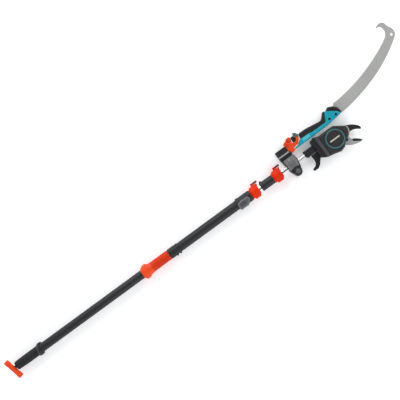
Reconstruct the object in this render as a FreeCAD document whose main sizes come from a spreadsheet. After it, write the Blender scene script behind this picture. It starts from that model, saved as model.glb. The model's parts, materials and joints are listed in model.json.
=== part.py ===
"""Telescoping pole with a hook-jaw pruning head and a curved pull saw beside it.

X runs along the pole toward the cutting end, Y points to the saw side, and Z points up from
the floor that the tool lies on. Design positions are millimetres from the foot end (x) and
from the pole axis (y, z); every body is then moved so the frame's origin sits under the
middle of the whole tool.
"""
import math
import os
import re

import FreeCAD
import Part
import Sketcher

doc = FreeCAD.newDocument("PoleSaw")
sheet = doc.addObject("Spreadsheet::Sheet", "Sizes")

SIZES = {
    # whole tool
    "total_len": 1704.0,
    "middle_side": 68.85,
    "axis_height": 25.0,
    "fit_gap": 0.05,
    "free_gap": 0.3,
    # outer tube and its fittings
    "outer_start": 34.0,
    "outer_end": 996.0,
    "outer_rad": 15.0,
    "outer_bore": 13.5,
    "end_grip_start": 28.6,
    "end_grip_end": 128.0,
    "end_grip_rad": 16.4,
    "ring_mid": 128.5,
    "ring_rad": 21.0,
    "ring_thick": 11.0,
    "ring_lean": 13.0,
    "ring_tip": 20.0,
    "collar_start": 660.5,
    "collar_end": 700.0,
    "collar_rad": 18.0,
    "sleeve_end": 938.0,
    "sleeve_rad": 16.4,
    "housing_rad": 19.0,
    # T handle
    "tee_rad": 9.5,
    "tee_span": 72.0,
    "tee_lean": 12.6,
    "tee_mid": 16.5,
    "strap_wide": 10.0,
    "strap_thick": 1.2,
    # pull grip
    "pull_start": 552.0,
    "pull_end": 660.0,
    "pull_rad": 17.5,
    "flare_rad": 24.0,
    "flare_mid": 566.0,
    "flare_thick": 28.0,
    "flare_lean": 7.0,
    "flare_tip": 12.0,
    # inner tubes
    "two_start": 330.0,
    "two_end": 1088.0,
    "two_rad": 10.0,
    "two_bore": 8.5,
    "two_sleeve_start": 1038.0,
    "two_sleeve_rad": 15.6,
    "three_start": 400.0,
    "three_end": 1186.0,
    "three_rad": 8.0,
    "three_bore": 6.5,
    "rod_rad": 6.5,
    "rod_end": 1224.0,
    # clamps
    "clamp_rad": 17.5,
    "clamp_one": 996.5,
    "clamp_one_len": 33.5,
    "clamp_two": 1088.0,
    "clamp_two_len": 35.5,
    "lever_pin_side": 27.0,
    "lever_pin_rad": 2.5,
    "lever_in": 17.8,
    "lever_out": 21.0,
    # saw adapter
    "adapter_start": 1141.5,
    "adapter_end": 1191.0,
    "adapter_top": 22.0,
    "knob_x": 1168.3,
    "knob_side": -27.6,
    "knob_rad": 14.6,
    "knob_tall": 13.0,
    "stud_rad": 3.0,
    # pruning head
    "tilt_x": 1275.0,
    "tilt_pin_rad": 4.0,
    "head_half": 25.0,
    "core_half": 6.5,
    "disc_x": 1330.2,
    "disc_side": -13.3,
    "recess_rad": 36.0,
    "recess_deep": 1.6,
    "teal_in": 28.6,
    "teal_out": 33.4,
    "teal_proud": 1.2,
    "cover_proud": 0.6,
    "drum_rad": 19.0,
    "pivot_x": 1362.0,
    "pivot_side": -39.5,
    "pivot_rad": 4.0,
    "bar_deep": 0.8,
    "cutter_thick": 3.0,
    "hook_thick": 6.2,
    "head_screw_rad": 2.6,
    "head_screw_deep": 3.0,
    # saw
    "saw_half": 15.0,
    "blade_thick": 1.6,
    "tooth_pitch": 4.2,
    "tooth_deep": 2.6,
    "handle_screw_rad": 3.7,
    "handle_screw_side": 50.6,
    "near_screw": 1355.0,
    "far_screw": 1381.0,
    "hang_rad": 4.3,
}

for row, (alias, value) in enumerate(SIZES.items(), start=1):
    sheet.set("A%d" % row, alias)
    sheet.set("B%d" % row, str(value))
    sheet.setAlias("B%d" % row, alias)
doc.recompute()

ALONG_POLE = FreeCAD.Rotation(FreeCAD.Vector(1, 1, 1), 120)
FLAT = FreeCAD.Rotation()
pieces = []


def size(alias):
    """The number that the sheet holds for an alias."""
    return float(sheet.get(alias))


def formula(text):
    """Turn plain alias names in a formula into references to the sheet."""
    return re.sub(r"[a-z_]*[a-z]", lambda m: "Sizes." + m[0] if m[0] in SIZES else m[0], text)


def bind(item, field, text):
    item.setExpression(field, formula(str(text)))


def place(item, x="0", y="0", z="0", turn=FLAT):
    """Put an item at a design position, measured from the foot end and the pole axis."""
    item.Placement = FreeCAD.Placement(FreeCAD.Vector(), turn)
    bind(item, "Placement.Base.x", "(%s) - total_len / 2" % x)
    bind(item, "Placement.Base.y", "(%s) - middle_side" % y)
    bind(item, "Placement.Base.z", "(%s) + axis_height" % z)


def new_body(label, x="0", y="0", z="0", turn=FLAT):
    body = doc.addObject("PartDesign::Body", label)
    body.Label = label
    place(body, x, y, z, turn)
    pieces.append(body)
    return body


def new_sketch(body, plane="XY_Plane", lift="0", turn=FLAT):
    """A sketch on one of the body's own planes, raised along its normal and turned."""
    sketch = body.newObject("Sketcher::SketchObject", body.Name + "Sketch")
    face = next(o for o in body.Origin.OriginFeatures if o.Role == plane)
    sketch.AttachmentSupport = [(face, "")]
    sketch.MapMode = "FlatFace"
    sketch.AttachmentOffset = FreeCAD.Placement(FreeCAD.Vector(), turn)
    bind(sketch, "AttachmentOffset.Base.z", lift)
    return sketch


def circle(sketch, radius, x=0.0, y=0.0):
    """A circle whose radius follows the sheet."""
    value = FreeCAD.Vector(x, y, 0)
    index = sketch.addGeometry(Part.Circle(value, FreeCAD.Vector(0, 0, 1), 1.0), False)
    number = sketch.addConstraint(Sketcher.Constraint("Radius", index, 1.0))
    bind(sketch, "Constraints[%d]" % number, radius)


def line_or_nothing(a, b):
    return [] if a.distanceToPoint(b) < 1e-6 else [Part.LineSegment(a, b)]


def outline(sketch, points):
    """Draw a closed outline through points of the form (x, y), (x, y, corner radius) or,
    for an arc from the point before, (x, y, x of its middle, y of its middle)."""
    spots = [FreeCAD.Vector(p[0], p[1], 0) for p in points]
    count = len(points)
    leave = list(spots)
    arrive = list(spots)
    drawn = []
    for i, point in enumerate(points):
        if len(point) != 3:
            continue
        back = (spots[i - 1] - spots[i]).normalize()
        ahead = (spots[(i + 1) % count] - spots[i]).normalize()
        half = back.getAngle(ahead) / 2
        reach = point[2] / math.tan(half)
        arrive[i] = spots[i] + back * reach
        leave[i] = spots[i] + ahead * reach
        bisector = (back + ahead).normalize()
        middle = spots[i] + bisector * (point[2] / math.sin(half) - point[2])
        drawn.append(Part.Arc(arrive[i], middle, leave[i]))
    for i, point in enumerate(points):
        if len(point) == 4:
            middle = FreeCAD.Vector(point[2], point[3], 0)
            drawn.append(Part.Arc(leave[i - 1], middle, arrive[i]))
        else:
            drawn.extend(line_or_nothing(leave[i - 1], arrive[i]))
    sketch.addGeometry(drawn, False)


def pad(body, sketch, length, reverse=False, both_ways=False):
    feature = body.newObject("PartDesign::Pad", body.Name + "Pad")
    feature.Profile = sketch
    bind(feature, "Length", length)
    feature.Reversed = reverse
    feature.SideType = "Symmetric" if both_ways else "One side"
    doc.recompute()


def pocket(body, sketch, length=None, reverse=False, both_ways=False):
    """Cut a sketch out of a body and make sure that something was removed."""
    before = body.Shape.Volume
    feature = body.newObject("PartDesign::Pocket", body.Name + "Pocket")
    feature.Profile = sketch
    feature.Reversed = reverse
    feature.SideType = "Symmetric" if both_ways else "One side"
    if length is None:
        feature.Type = "ThroughAll"
    else:
        bind(feature, "Length", length)
    doc.recompute()
    assert body.Shape.Volume < before - 1e-3, body.Label + ": the cut missed"


def turned(body, points):
    """Revolve a closed outline of (radius, height) points about the body's Z axis."""
    sketch = new_sketch(body, "XZ_Plane")
    outline(sketch, points)
    feature = body.newObject("PartDesign::Revolution", body.Name + "Turned")
    feature.Profile = sketch
    feature.ReferenceAxis = (sketch, ["V_Axis"])
    feature.Angle = 360
    doc.recompute()


def soften(body, radius, pick):
    """Round the edges that pick(edge) accepts."""
    base = body.Tip
    names = ["Edge%d" % (i + 1) for i, edge in enumerate(base.Shape.Edges) if pick(edge)]
    assert names, body.Label + ": no edge to soften"
    feature = body.newObject("PartDesign::Fillet", body.Name + "Fillet")
    feature.Base = (base, names)
    feature.Radius = radius
    doc.recompute()
    assert "Invalid" not in feature.State, body.Label + ": the edges can't take this radius"


def at_height(height, slack=0.01):
    """Picks edges that lie flat at one height of the body's own Z."""
    def pick(edge):
        box = edge.BoundBox
        return abs(box.ZMin - height) < slack and abs(box.ZMax - height) < slack
    return pick


def slab(label, points, low, high, x="0", y="0"):
    """A flat piece in the plane of the tool, from one height to another."""
    body = new_body(label, x, y, low)
    sketch = new_sketch(body)
    outline(sketch, points)
    pad(body, sketch, "(%s) - (%s)" % (high, low))
    return body


def hole(body, radius, x=0.0, y=0.0, length=None):
    """A round hole along the body's Z axis."""
    sketch = new_sketch(body)
    circle(sketch, radius, x, y)
    pocket(body, sketch, length, both_ways=True)


def tube(label, start, end, radius, bore):
    body = new_body(label, start, turn=ALONG_POLE)
    sketch = new_sketch(body)
    circle(sketch, radius)
    circle(sketch, bore)
    pad(body, sketch, "(%s) - (%s)" % (end, start))
    return body


def groove(body, side, width, deep, radius, length):
    """A narrow groove along a tube, on the face that looks up."""
    sketch = new_sketch(body)
    top = radius + 1.0
    floor = math.sqrt(radius ** 2 - side ** 2) - deep
    points = [(side - width / 2, floor), (side + width / 2, floor)]
    points += [(side + width / 2, top), (side - width / 2, top)]
    outline(sketch, points)
    pocket(body, sketch, length, reverse=True)


def slanted_flange(label, middle, radius, thick, lean, tip, bore, edge):
    """A round flange that leans toward the cutting end on the saw side and toward the foot
    at its top."""
    body = new_body(label, middle, turn=ALONG_POLE)
    slant = FreeCAD.Rotation(FreeCAD.Vector(0, 1, 0), -size(lean))
    slant = slant.multiply(FreeCAD.Rotation(FreeCAD.Vector(1, 0, 0), -size(tip)))
    sketch = new_sketch(body, turn=slant)
    circle(sketch, radius)
    pad(body, sketch, thick, both_ways=True)
    long_edge = 2 * math.pi * size(radius) * 0.9
    soften(body, edge, lambda e: e.Length > long_edge)
    hole(body, bore)
    return body


# ---------------------------------------------------------------- foot of the pole
def make_end_grip():
    body = new_body("end_grip", "end_grip_start", turn=ALONG_POLE)
    radius = size("end_grip_rad")
    bore = size("outer_rad")
    length = size("end_grip_end") - size("end_grip_start")
    floor = size("outer_start") - size("end_grip_start")
    turned(body, [(0, 0), (radius, 0, 9.0), (radius, length), (bore, length),
                  (bore, floor), (0, floor)])
    sketch = new_sketch(body)
    wide = size("strap_wide") / 2 + 0.5
    thick = size("strap_thick") / 2 + 0.5
    outline(sketch, [(-wide, -thick), (wide, -thick), (wide, thick), (-wide, thick)])
    pocket(body, sketch, both_ways=True)


def make_grip_ring():
    slanted_flange("grip_ring", "ring_mid", "ring_rad", "ring_thick", "ring_lean", "ring_tip",
                   "end_grip_rad", 2.5)


def make_tee():
    lean = FreeCAD.Rotation(FreeCAD.Vector(0, 0, 1), size("tee_lean"))
    turn = lean.multiply(FreeCAD.Rotation(FreeCAD.Vector(1, 0, 0), -90))
    radius = size("tee_rad")
    half = size("tee_span") / 2
    plug = 5.5
    bar = new_body("tee_bar", "tee_mid", "-2", turn=turn)
    turned(bar, [(0, -half), (radius, -half, 3.0), (radius, half, 3.0), (0, half)])
    ends = new_sketch(bar, lift="tee_span / 2 - 3")
    circle(ends, "%s" % (plug + 0.01))
    pocket(bar, ends, "5", reverse=True)
    cap = new_body("tee_plug", "tee_mid", "-2", turn=turn)
    turned(cap, [(0, half - 3), (plug, half - 3), (plug, half + 0.6, 0.8), (0, half + 0.6)])
    strap = new_body("tee_strap", "tee_mid + 2", turn=ALONG_POLE)
    band = new_sketch(strap)
    wide = size("strap_wide") / 2
    thick = size("strap_thick") / 2
    outline(band, [(-wide, -thick), (wide, -thick), (wide, thick), (-wide, thick)])
    pad(strap, band, "300")


# ---------------------------------------------------------------- outer tube
def make_outer_tube():
    body = tube("outer_tube", "outer_start", "outer_end", "outer_rad", "outer_bore")
    slot = new_sketch(body, lift="215 - outer_start")
    outline(slot, [(-3, -16), (3, -16), (3, -12), (-3, -12)])
    pocket(body, slot, "440", reverse=True)


def make_pull_grip():
    start = size("pull_start")
    radius = size("pull_rad")
    bore = size("outer_rad") + size("free_gap")
    end = size("pull_end") - start
    sleeve = new_body("pull_sleeve", "pull_start", turn=ALONG_POLE)
    turned(sleeve, [(bore, 0), (radius, 0), (radius, end, 2.0), (bore, end)])
    slanted_flange("pull_collar", "flare_mid", "flare_rad", "flare_thick", "flare_lean",
                   "flare_tip", "pull_rad", 10.0)
    lug = new_body("pull_lug", "600", turn=ALONG_POLE)
    sketch = new_sketch(lug)
    outline(sketch, [(-2.6, -16.3), (2.6, -16.3), (2.6, -13.9), (-2.6, -13.9)])
    pad(lug, sketch, "46")


def make_end_collar():
    body = new_body("end_collar", "collar_start", turn=ALONG_POLE)
    radius = size("collar_rad")
    bore = size("outer_rad")
    length = size("collar_end") - size("collar_start")
    turned(body, [(bore, 0), (radius, 0, 2.0), (radius, 28), (radius - 1.2, 29.2),
                  (radius - 1.2, 31), (radius, 32.2), (radius, length, 2.0), (bore, length)])
    tabs = new_sketch(body, "YZ_Plane", lift="-19.2")
    for start in (20.0, 33.0):
        outline(tabs, [(-4, start), (4, start), (4, start + 4), (-4, start + 4)])
    pad(body, tabs, "3")


def make_mid_sleeve():
    body = new_body("mid_sleeve", "collar_end", turn=ALONG_POLE)
    radius = size("sleeve_rad")
    bore = size("outer_rad")
    length = size("sleeve_end") - size("collar_end")
    points = [(bore, 0), (radius, 0)]
    for start in (6.0, length - 10.0):
        points += [(radius, start), (radius - 0.5, start + 0.5)]
        points += [(radius - 0.5, start + 3.5), (radius, start + 4)]
    turned(body, points + [(radius, length), (bore, length)])


def make_clamp_housing():
    body = new_body("clamp_housing", "sleeve_end", turn=ALONG_POLE)
    radius = size("housing_rad")
    bore = size("outer_rad")
    length = size("outer_end") - size("sleeve_end")
    turned(body, [(bore, 0), (radius - 1.5, 0), (radius - 1.5, 4), (radius + 1.6, 5, 1.0),
                  (radius + 1.6, 13, 1.0), (radius, 14.5), (radius, length, 2.0),
                  (bore, length)])
    cover = slab("housing_cover", [(-28, -23.3, 4), (8, -23.3, 6), (18, 9.7, 4), (-28, 9.7, 4)],
                 "0", "22.5", "968")
    soften(cover, 2.5, at_height(22.5))
    bore_sketch = new_sketch(cover, "YZ_Plane")
    circle(bore_sketch, "housing_rad + 0.01 + 1.6")
    pocket(cover, bore_sketch, both_ways=True)


# ---------------------------------------------------------------- clamps
def make_clamp(number, start, length, bore):
    """A clamp collar with two ears, its lever pin and the lever that wraps its front."""
    radius = size("clamp_rad")
    long = size(length)
    collar = new_body("clamp%d_collar" % number, start, turn=ALONG_POLE)
    turned(collar, [(bore, 0), (radius, 0), (radius, long - 4), (radius - 3, long),
                    (bore, long)])
    ears = new_sketch(collar, "XZ_Plane")
    outline(ears, [(12, 4), (21.5, 4, 2.0), (22.4, 15.5), (30.8, 18.0, 2.0), (30.8, 27.5, 2.0),
                   (22.6, 27.5), (21.5, 39.5, 2.0), (12, 33)])
    pad(collar, ears, "13", both_ways=True)
    gap = new_sketch(collar, "XZ_Plane")
    outline(gap, [(radius + 0.2, 19.0), (40, 19.0), (40, 24.2), (radius + 0.2, 24.2)])
    pocket(collar, gap, both_ways=True)
    side = size("lever_pin_side")
    hole(collar, "lever_pin_rad", side, 0.0)

    pin = new_body("clamp%d_pin" % number, start, "lever_pin_side", turn=ALONG_POLE)
    turned(pin, [(0, 17.5), (2.5, 17.5), (2.5, 27.5), (3.8, 27.5, 0.8), (3.8, 42, 1.4),
                 (0, 42)])

    lever = new_body("clamp%d_lever" % number, start, turn=ALONG_POLE)
    band = new_sketch(lever, lift="4.5")
    outline(band, lever_section(22, 128, 170))
    pad(lever, band, "%s - 8" % length)
    knuckle = new_sketch(lever, lift="19.4")
    outline(knuckle, [(16.8, 7.6), (19.5, 7.0), (side - 3.6, -3.4), (side + 3.6, -3.4, 2.5),
                      (side + 4.4, 4.4, 4.0), (side - 3, 9.5)])
    pad(lever, knuckle, "4.4")
    hole(lever, "lever_pin_rad + fit_gap", side, 0.0)


def polar(radius, degrees):
    angle = math.radians(degrees)
    return radius * math.cos(angle), radius * math.sin(angle)


def lever_section(first, step, last):
    """The lever seen along the pole: a band, then a thicker finger pad at its free end."""
    low = size("lever_in")
    high = size("lever_out")
    pad_out = high + 2.4
    return [
        polar(low, first),
        polar(high, first),
        polar(high, step - 2) + polar(high, (first + step) / 2),
        polar(low + 1.4, step),
        polar(pad_out, step + 4),
        polar(pad_out, last) + polar(pad_out, (step + 4 + last) / 2),
        polar(low, last),
        polar(low, first) + polar(low, (first + last) / 2),
    ]


# ---------------------------------------------------------------- inner tubes
def make_tube_two():
    body = tube("tube_two", "two_start", "two_end", "two_rad", "two_bore")
    groove(body, -4.2, 1.6, 0.7, size("two_rad"), "two_end - two_start")
    tube("tube_two_bush", "two_start", "two_start + 24", "outer_bore - fit_gap", "two_rad")
    sleeve = new_body("sleeve_two", "two_sleeve_start", turn=ALONG_POLE)
    radius = size("two_sleeve_rad")
    bore = size("two_rad")
    length = size("two_end") - size("two_sleeve_start")
    turned(sleeve, [(bore, 0), (radius, 0, 1.5), (radius, 8), (radius - 0.7, 8.7),
                    (radius - 0.7, 10.3), (radius, 11), (radius, length), (bore, length)])
    bump = new_sketch(sleeve, "XZ_Plane")
    outline(bump, [(13, 3.5), (20, 3.5, 1.5), (20, 11, 1.5), (13, 11)])
    pad(sleeve, bump, "8", both_ways=True)


def make_tube_three():
    body = tube("tube_three", "three_start", "three_end", "three_rad", "three_bore")
    groove(body, -3.4, 2.4, 0.6, size("three_rad"), "three_end - three_start")
    rod = new_body("head_rod", "1150", turn=ALONG_POLE)
    sketch = new_sketch(rod)
    circle(sketch, "rod_rad")
    pad(rod, sketch, "rod_end - 1150")
    hole(rod, "3.4", length="200")
    groove(rod, -3.2, 1.6, 0.8, size("rod_rad"), "rod_end - 1150")
    strap = new_body("pull_strap", "three_start + 8", turn=ALONG_POLE)
    band = new_sketch(strap)
    outline(band, [(-2.9, -0.6), (2.9, -0.6), (2.9, 0.6), (-2.9, 0.6)])
    pad(strap, band, "rod_end - three_start - 8")


# ---------------------------------------------------------------- saw adapter
def make_adapter():
    start = size("adapter_start")
    end = size("adapter_end")
    block = slab("adapter_body",
                 [(start + 1.5, 28.0, 3), (end - 3, 28.0, 7), (end + 0.5, 6, 20),
                  (end - 4.5, -19, 20), (end - 15, -43.5, 9), (end - 32, -43.5, 9),
                  (start + 7, -19, 20)],
                 "-25", "adapter_top")
    soften(block, 3.5, at_height(size("adapter_top") + 25))
    through = new_sketch(block, "YZ_Plane")
    circle(through, "three_rad", 0, 25)
    pocket(block, through, both_ways=True)
    hole(block, "stud_rad + fit_gap", size("knob_x"), size("knob_side"))

    slab("adapter_band", [(start, 28.0), (end - 3.5, 28.0), (end - 6.7, 39.6), (start, 39.6)],
         "-23", "19.5")
    slab("adapter_bar", [(start + 0.6, 39.6), (end - 9.6, 39.6), (end - 9.6, 45.2),
                         (start + 0.6, 45.2)], "-25", "21.5")
    socket = slab("adapter_block",
                  [(start, 45.2), (end - 10, 45.2), (end - 10, 64.6, 3), (start, 64.6, 4)],
                  "-25", "20")
    soften(socket, 2.0, at_height(45))
    screw = new_body("adapter_screw", "1165.5", "19.3", "adapter_top - 1")
    turned(screw, [(0, 0), (2.6, 0), (2.6, 1.8, 0.6), (0, 1.8)])
    seat = new_sketch(block, lift="46")
    circle(seat, "2.6", 1165.5, 19.3)
    pocket(block, seat, "3", reverse=True)


def make_knob():
    knob = new_body("adapter_knob", "knob_x", "knob_side", "adapter_top + free_gap")
    sketch = new_sketch(knob)
    lobes(sketch, size("knob_rad"), 8, 1.6)
    pad(knob, sketch, "knob_tall")
    soften(knob, 1.4, at_height(size("knob_tall")))
    dish = new_sketch(knob, lift="knob_tall")
    circle(dish, "9.51")
    pocket(knob, dish, "2")
    insert = new_body("knob_insert", "knob_x", "knob_side", "adapter_top + free_gap + 11")
    turned(insert, [(0, 0), (9.5, 0), (9.5, 1.2), (7.5, 2.6), (0, 3.2)])
    stud = new_body("knob_stud", "knob_x", "knob_side", "-10")
    post = new_sketch(stud)
    circle(post, "stud_rad")
    pad(stud, post, "10 + adapter_top + free_gap")


def lobes(sketch, radius, count, deep):
    """A round outline with scallops around it, each one an arc."""
    points = []
    step = 360.0 / count
    for i in range(count):
        centre = i * step
        points.append(polar(radius, centre - step * 0.28) + polar(radius - deep, centre - step / 2))
        points.append(polar(radius, centre + step * 0.28) + polar(radius, centre))
    outline(sketch, points)


# ---------------------------------------------------------------- saw coupling
def make_coupling():
    body = slab("coupling_body",
                [(1181.5, 72, 2), (1181.5, 46), (1188.5, 32.3, 2.5), (1202, 32.3, 2.5),
                 (1203.5, 43), (1216, 45, 4), (1222, 45), (1237.6, 61), (1231.5, 68.5, 2),
                 (1220, 56.5, 2), (1209, 56.5, 3), (1209, 64.6), (1196.2, 64.6),
                 (1196.2, 78.5, 1.5)],
                "-14", "16")
    soften(body, 1.5, at_height(30))
    slab("coupling_core", [(1213.6, 56.8), (1219.6, 56.8), (1230, 67.6), (1225, 72),
                           (1224, 77, 2), (1213.6, 77, 1.5)], "-9", "9")
    tab = slab("lock_tab",
               [(1226.2, 72.6), (1230.8, 68.8), (1237.2, 62.4), (1241.8, 71, 2), (1234, 82.5, 2),
                (1226.2, 85, 1.5)],
               "-8", "9")
    soften(tab, 1.2, at_height(17))


def make_coupling_knob():
    """The screw knob of the coupling: its axis runs across the pole."""
    turn = FreeCAD.Rotation(FreeCAD.Vector(1, 0, 0), -90)
    knob = new_body("coupling_knob", "1204.4", "64.9", "1", turn=turn)
    sketch = new_sketch(knob)
    lobes(sketch, 7.8, 6, 1.1)
    pad(knob, sketch, "17")
    soften(knob, 1.4, at_height(17))


# ---------------------------------------------------------------- saw
def make_saw_handle():
    lower = [(1205, 35.2, 1.5), (1221, 34.8), (1345, 37), (1397.6, 43.2, 3), (1397.6, 47.5),
             (1391, 57.2, 4), (1363, 77), (1354, 81, 1.5), (1338, 50.4, 5), (1281, 50.8),
             (1271, 53.8), (1239.6, 54.6), (1222.4, 41.6), (1206, 38)]
    shell = slab("saw_handle", lower, "-saw_half", "saw_half")
    soften(shell, 1.2, lambda e: at_height(30)(e) or at_height(0)(e))
    soft = [(1241, 55.0), (1271.2, 54.2), (1281.2, 51.2), (1337.7, 50.8, 5), (1353.2, 82, 1),
            (1349.5, 82), (1332, 63.6, 8), (1320, 64), (1271, 71.4), (1249, 72, 6),
            (1242.6, 69)]
    grip = slab("saw_grip", soft, "-saw_half - 0.6", "saw_half + 0.6")
    soften(grip, 0.8, lambda e: at_height(31.2)(e) or at_height(0)(e))
    guard = slab("saw_guard",
                 [(1361, 78.6), (1363.6, 77.2), (1391.8, 57.6), (1398.2, 47.7), (1401.6, 44.5),
                  (1403, 57, 6), (1399, 68, 8), (1388, 79, 8), (1372.6, 86, 3)], "-11", "11")
    soften(guard, 1.0, lambda e: at_height(22)(e) or at_height(0)(e))
    for along in ("near_screw", "far_screw"):
        hole(shell, "handle_screw_rad", size(along), size("handle_screw_side"))
    for body, middle in ((shell, "saw_half"), (guard, "11")):
        gap = new_sketch(body, lift=middle)
        outline(gap, [(1371.5, 40), (1420, 40), (1420, 90), (1371.5, 90)])
        pocket(body, gap, "blade_thick", both_ways=True)


def screw_group(label, spots, radius, length, height):
    """Equal round screw heads kept together as one piece."""
    group = []
    for i, (x, y) in enumerate(spots):
        post = doc.addObject("Part::Cylinder", "%s%d" % (label, i))
        bind(post, "Radius", radius)
        bind(post, "Height", length)
        post.Placement.Base = FreeCAD.Vector(x, y, 0)
        group.append(post)
    together = doc.addObject("Part::Compound", label)
    together.Label = label
    together.Links = group
    place(together, z=height)
    pieces.append(together)


def make_saw_screws():
    """Two screws that hold the blade between the handle halves."""
    spots = [(size(along), size("handle_screw_side")) for along in ("near_screw", "far_screw")]
    screw_group("saw_screws", spots, "handle_screw_rad", "saw_half + 1.1", "0")


def arc_spots(start, middle, end, pitch):
    """Evenly spaced points, with their outward directions, along an arc."""
    arc = Part.Arc(*[FreeCAD.Vector(x, y, 0) for x, y in (start, middle, end)])
    edge = arc.toShape()
    count = int(edge.Length / pitch)
    centre = edge.Curve.Center
    for i in range(count + 1):
        spot = edge.valueAt(edge.FirstParameter
                            + (edge.LastParameter - edge.FirstParameter) * i / count)
        yield spot, (spot - centre).normalize()


def make_saw_blade():
    """The curved pull blade with its hooked tip; the teeth line the hollow edge."""
    body = new_body("saw_blade", z="-blade_thick / 2")
    sketch = new_sketch(body)
    start, middle, end = (1404.5, 86.3), (1533.0, 107.8), (1655.0, 155.2)
    deep = size("tooth_deep")
    teeth = []
    spots = list(arc_spots(start, middle, end, size("tooth_pitch")))
    for (spot, out), (after, _) in zip(spots, spots[1:]):
        root = (spot + after) * 0.5 + out * deep
        teeth += [(spot.x, spot.y), (root.x, root.y)]
    last = spots[-1][0]
    outline(sketch, [
        (1372.0, 44.5), (1372.0, 78.0, 2.0), (1390.0, 76.5), (1399.5, 86.0)] + teeth + [
        (last.x, last.y),
        (1676.7, 176.5, 1670.5, 165.6),
        (1673.0, 198.2, 1676.8, 188.0),
        (1658.6, 201.3, 1666.0, 201.4),
        (1659.0, 204.2, 1657.6, 202.9),
        (1678.0, 210.1, 1667.5, 208.9),
        (1692.3, 198.5, 1687.5, 206.0),
        (1696.2, 183.2),
        (1700.4, 150.2, 1704.0, 166.0),
        (1688.3, 139.5, 1695.2, 144.4),
        (1539.8, 69.3, 1616.7, 98.6),
        (1404.0, 43.6, 1472.0, 52.2),
    ])
    pad(body, sketch, "blade_thick")
    hole(body, "hang_rad", 1689.4, 156.2)
    hole(body, "handle_screw_rad", size("far_screw"), size("handle_screw_side"))


# ---------------------------------------------------------------- pruning head
HEAD_OUTLINE = [
    (1257.2, 28.3, 4), (1270, 28.6), (1272, 32.4, 1.5), (1276.5, 32.4, 1.5), (1279, 28.8),
    (1284.5, 28.8, 1.5), (1286.5, 25.6), (1349, 25.8, 12), (1384, 2.0),
    (1367.2, -34.5, 1382.8, -15.6), (1351, -44, 5), (1342.7, -54, 6), (1324, -60.2, 12),
    (1301, -53.6, 20), (1276, -48.3, 5), (1257.2, -36.6, 3),
]


def make_neck():
    neck = slab("neck", [(1218, 13, 1.5), (1262, 13), (1275, 12.4), (1287.4, 0, 1283.8, 8.8),
                         (1275, -12.4, 1283.8, -8.8), (1262, -12.8), (1223, -12.8), (1218, -7)],
                "-13", "13")
    step = [(1231.5, 20), (1300, 20), (1300, -20), (1231.5, -20)]
    upper = new_sketch(neck, lift="26")
    outline(upper, step)
    pocket(neck, upper, "13 - core_half + free_gap")
    lower = new_sketch(neck)
    outline(lower, step)
    pocket(neck, lower, "13 - core_half + free_gap", reverse=True)
    entry = new_sketch(neck, "YZ_Plane")
    circle(entry, "rod_rad", 0, 13)
    pocket(neck, entry, "rod_end", reverse=True)
    hole(neck, "tilt_pin_rad", 1275, 0)
    bar = [(1232, -8.3), (1256.5, -8.3), (1256.5, -12.5), (1232, -12.5)]
    seat = new_sketch(neck, lift="13 + core_half - free_gap")
    outline(seat, bar)
    pocket(neck, seat, "bar_deep")
    slab("neck_bar", bar, "core_half - free_gap - bar_deep", "core_half - free_gap")
    hook = slab("branch_hook",
                [(1234.4, -12.8), (1235.4, -30), (1225.5, -49.3, 1233.0, -41.5),
                 (1215.8, -52.2, 2), (1212.6, -57, 2), (1216, -61.2, 2), (1231, -61.2, 5),
                 (1241, -55), (1256.6, -36.6), (1256.6, -12.8)], "-5", "6")
    soften(hook, 2.0, lambda e: at_height(11)(e) and e.BoundBox.YMin < -14.0)
    pin = new_body("tilt_pin", "tilt_x", z="-20")
    sketch = new_sketch(pin)
    circle(sketch, "tilt_pin_rad")
    pad(pin, sketch, "40")


def make_head_shells():
    front = slab("head_front", HEAD_OUTLINE, "core_half", "head_half")
    high = size("head_half") - size("core_half")
    soften(front, 1.4, at_height(high))
    dish = new_sketch(front, lift="head_half - core_half")
    circle(dish, "recess_rad", size("disc_x"), size("disc_side"))
    pocket(front, dish, "recess_deep")
    notch = new_sketch(front)
    circle(notch, "5.4", size("pivot_x"), size("pivot_side"))
    pocket(front, notch, reverse=True)
    back = slab("head_back", HEAD_OUTLINE, "-head_half", "-core_half")
    soften(back, 1.4, at_height(0))
    for shell, inner, flip in ((front, "0", True), (back, "head_half - core_half", False)):
        room = new_sketch(shell, lift=inner)
        circle(room, "28", size("disc_x"), size("disc_side"))
        pocket(shell, room, "14", reverse=flip)
        socket = new_sketch(shell, lift=inner)
        circle(socket, "tilt_pin_rad + fit_gap", size("tilt_x"), 0)
        pocket(shell, socket, "13.8", reverse=flip)


def make_head_core():
    core = slab("head_core",
                [(1290, 24.6), (1348.6, 24.8, 11), (1373.8, 7.8), (1366.2, 7.0, 2),
                 (1355, -20), (1352.6, -26, 3), (1343, -38, 3), (1340, -55, 3),
                 (1324, -59.2, 11), (1309, -55.2), (1300.5, -33), (1290, -25)],
                "-core_half", "core_half")
    way = new_sketch(core)
    outline(way, [(1288, 1.5), (1318, 1.5), (1318, 7.5), (1288, 7.5)])
    pocket(core, way, both_ways=True)
    hole(core, "drum_rad + 0.6", size("disc_x"), size("disc_side"))
    axle = new_body("drum_axle", "disc_x", "disc_side", "-20.5")
    post = new_sketch(axle)
    circle(post, "4")
    pad(axle, post, "41")
    drum = new_body("strap_drum", "disc_x", "disc_side", "-6")
    rim = size("drum_rad")
    turned(drum, [(4.05, 0), (rim, 0), (rim, 2), (rim - 5, 3.5), (rim - 5, 8.5), (rim, 10),
                  (rim, 12), (4.05, 12)])


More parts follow.
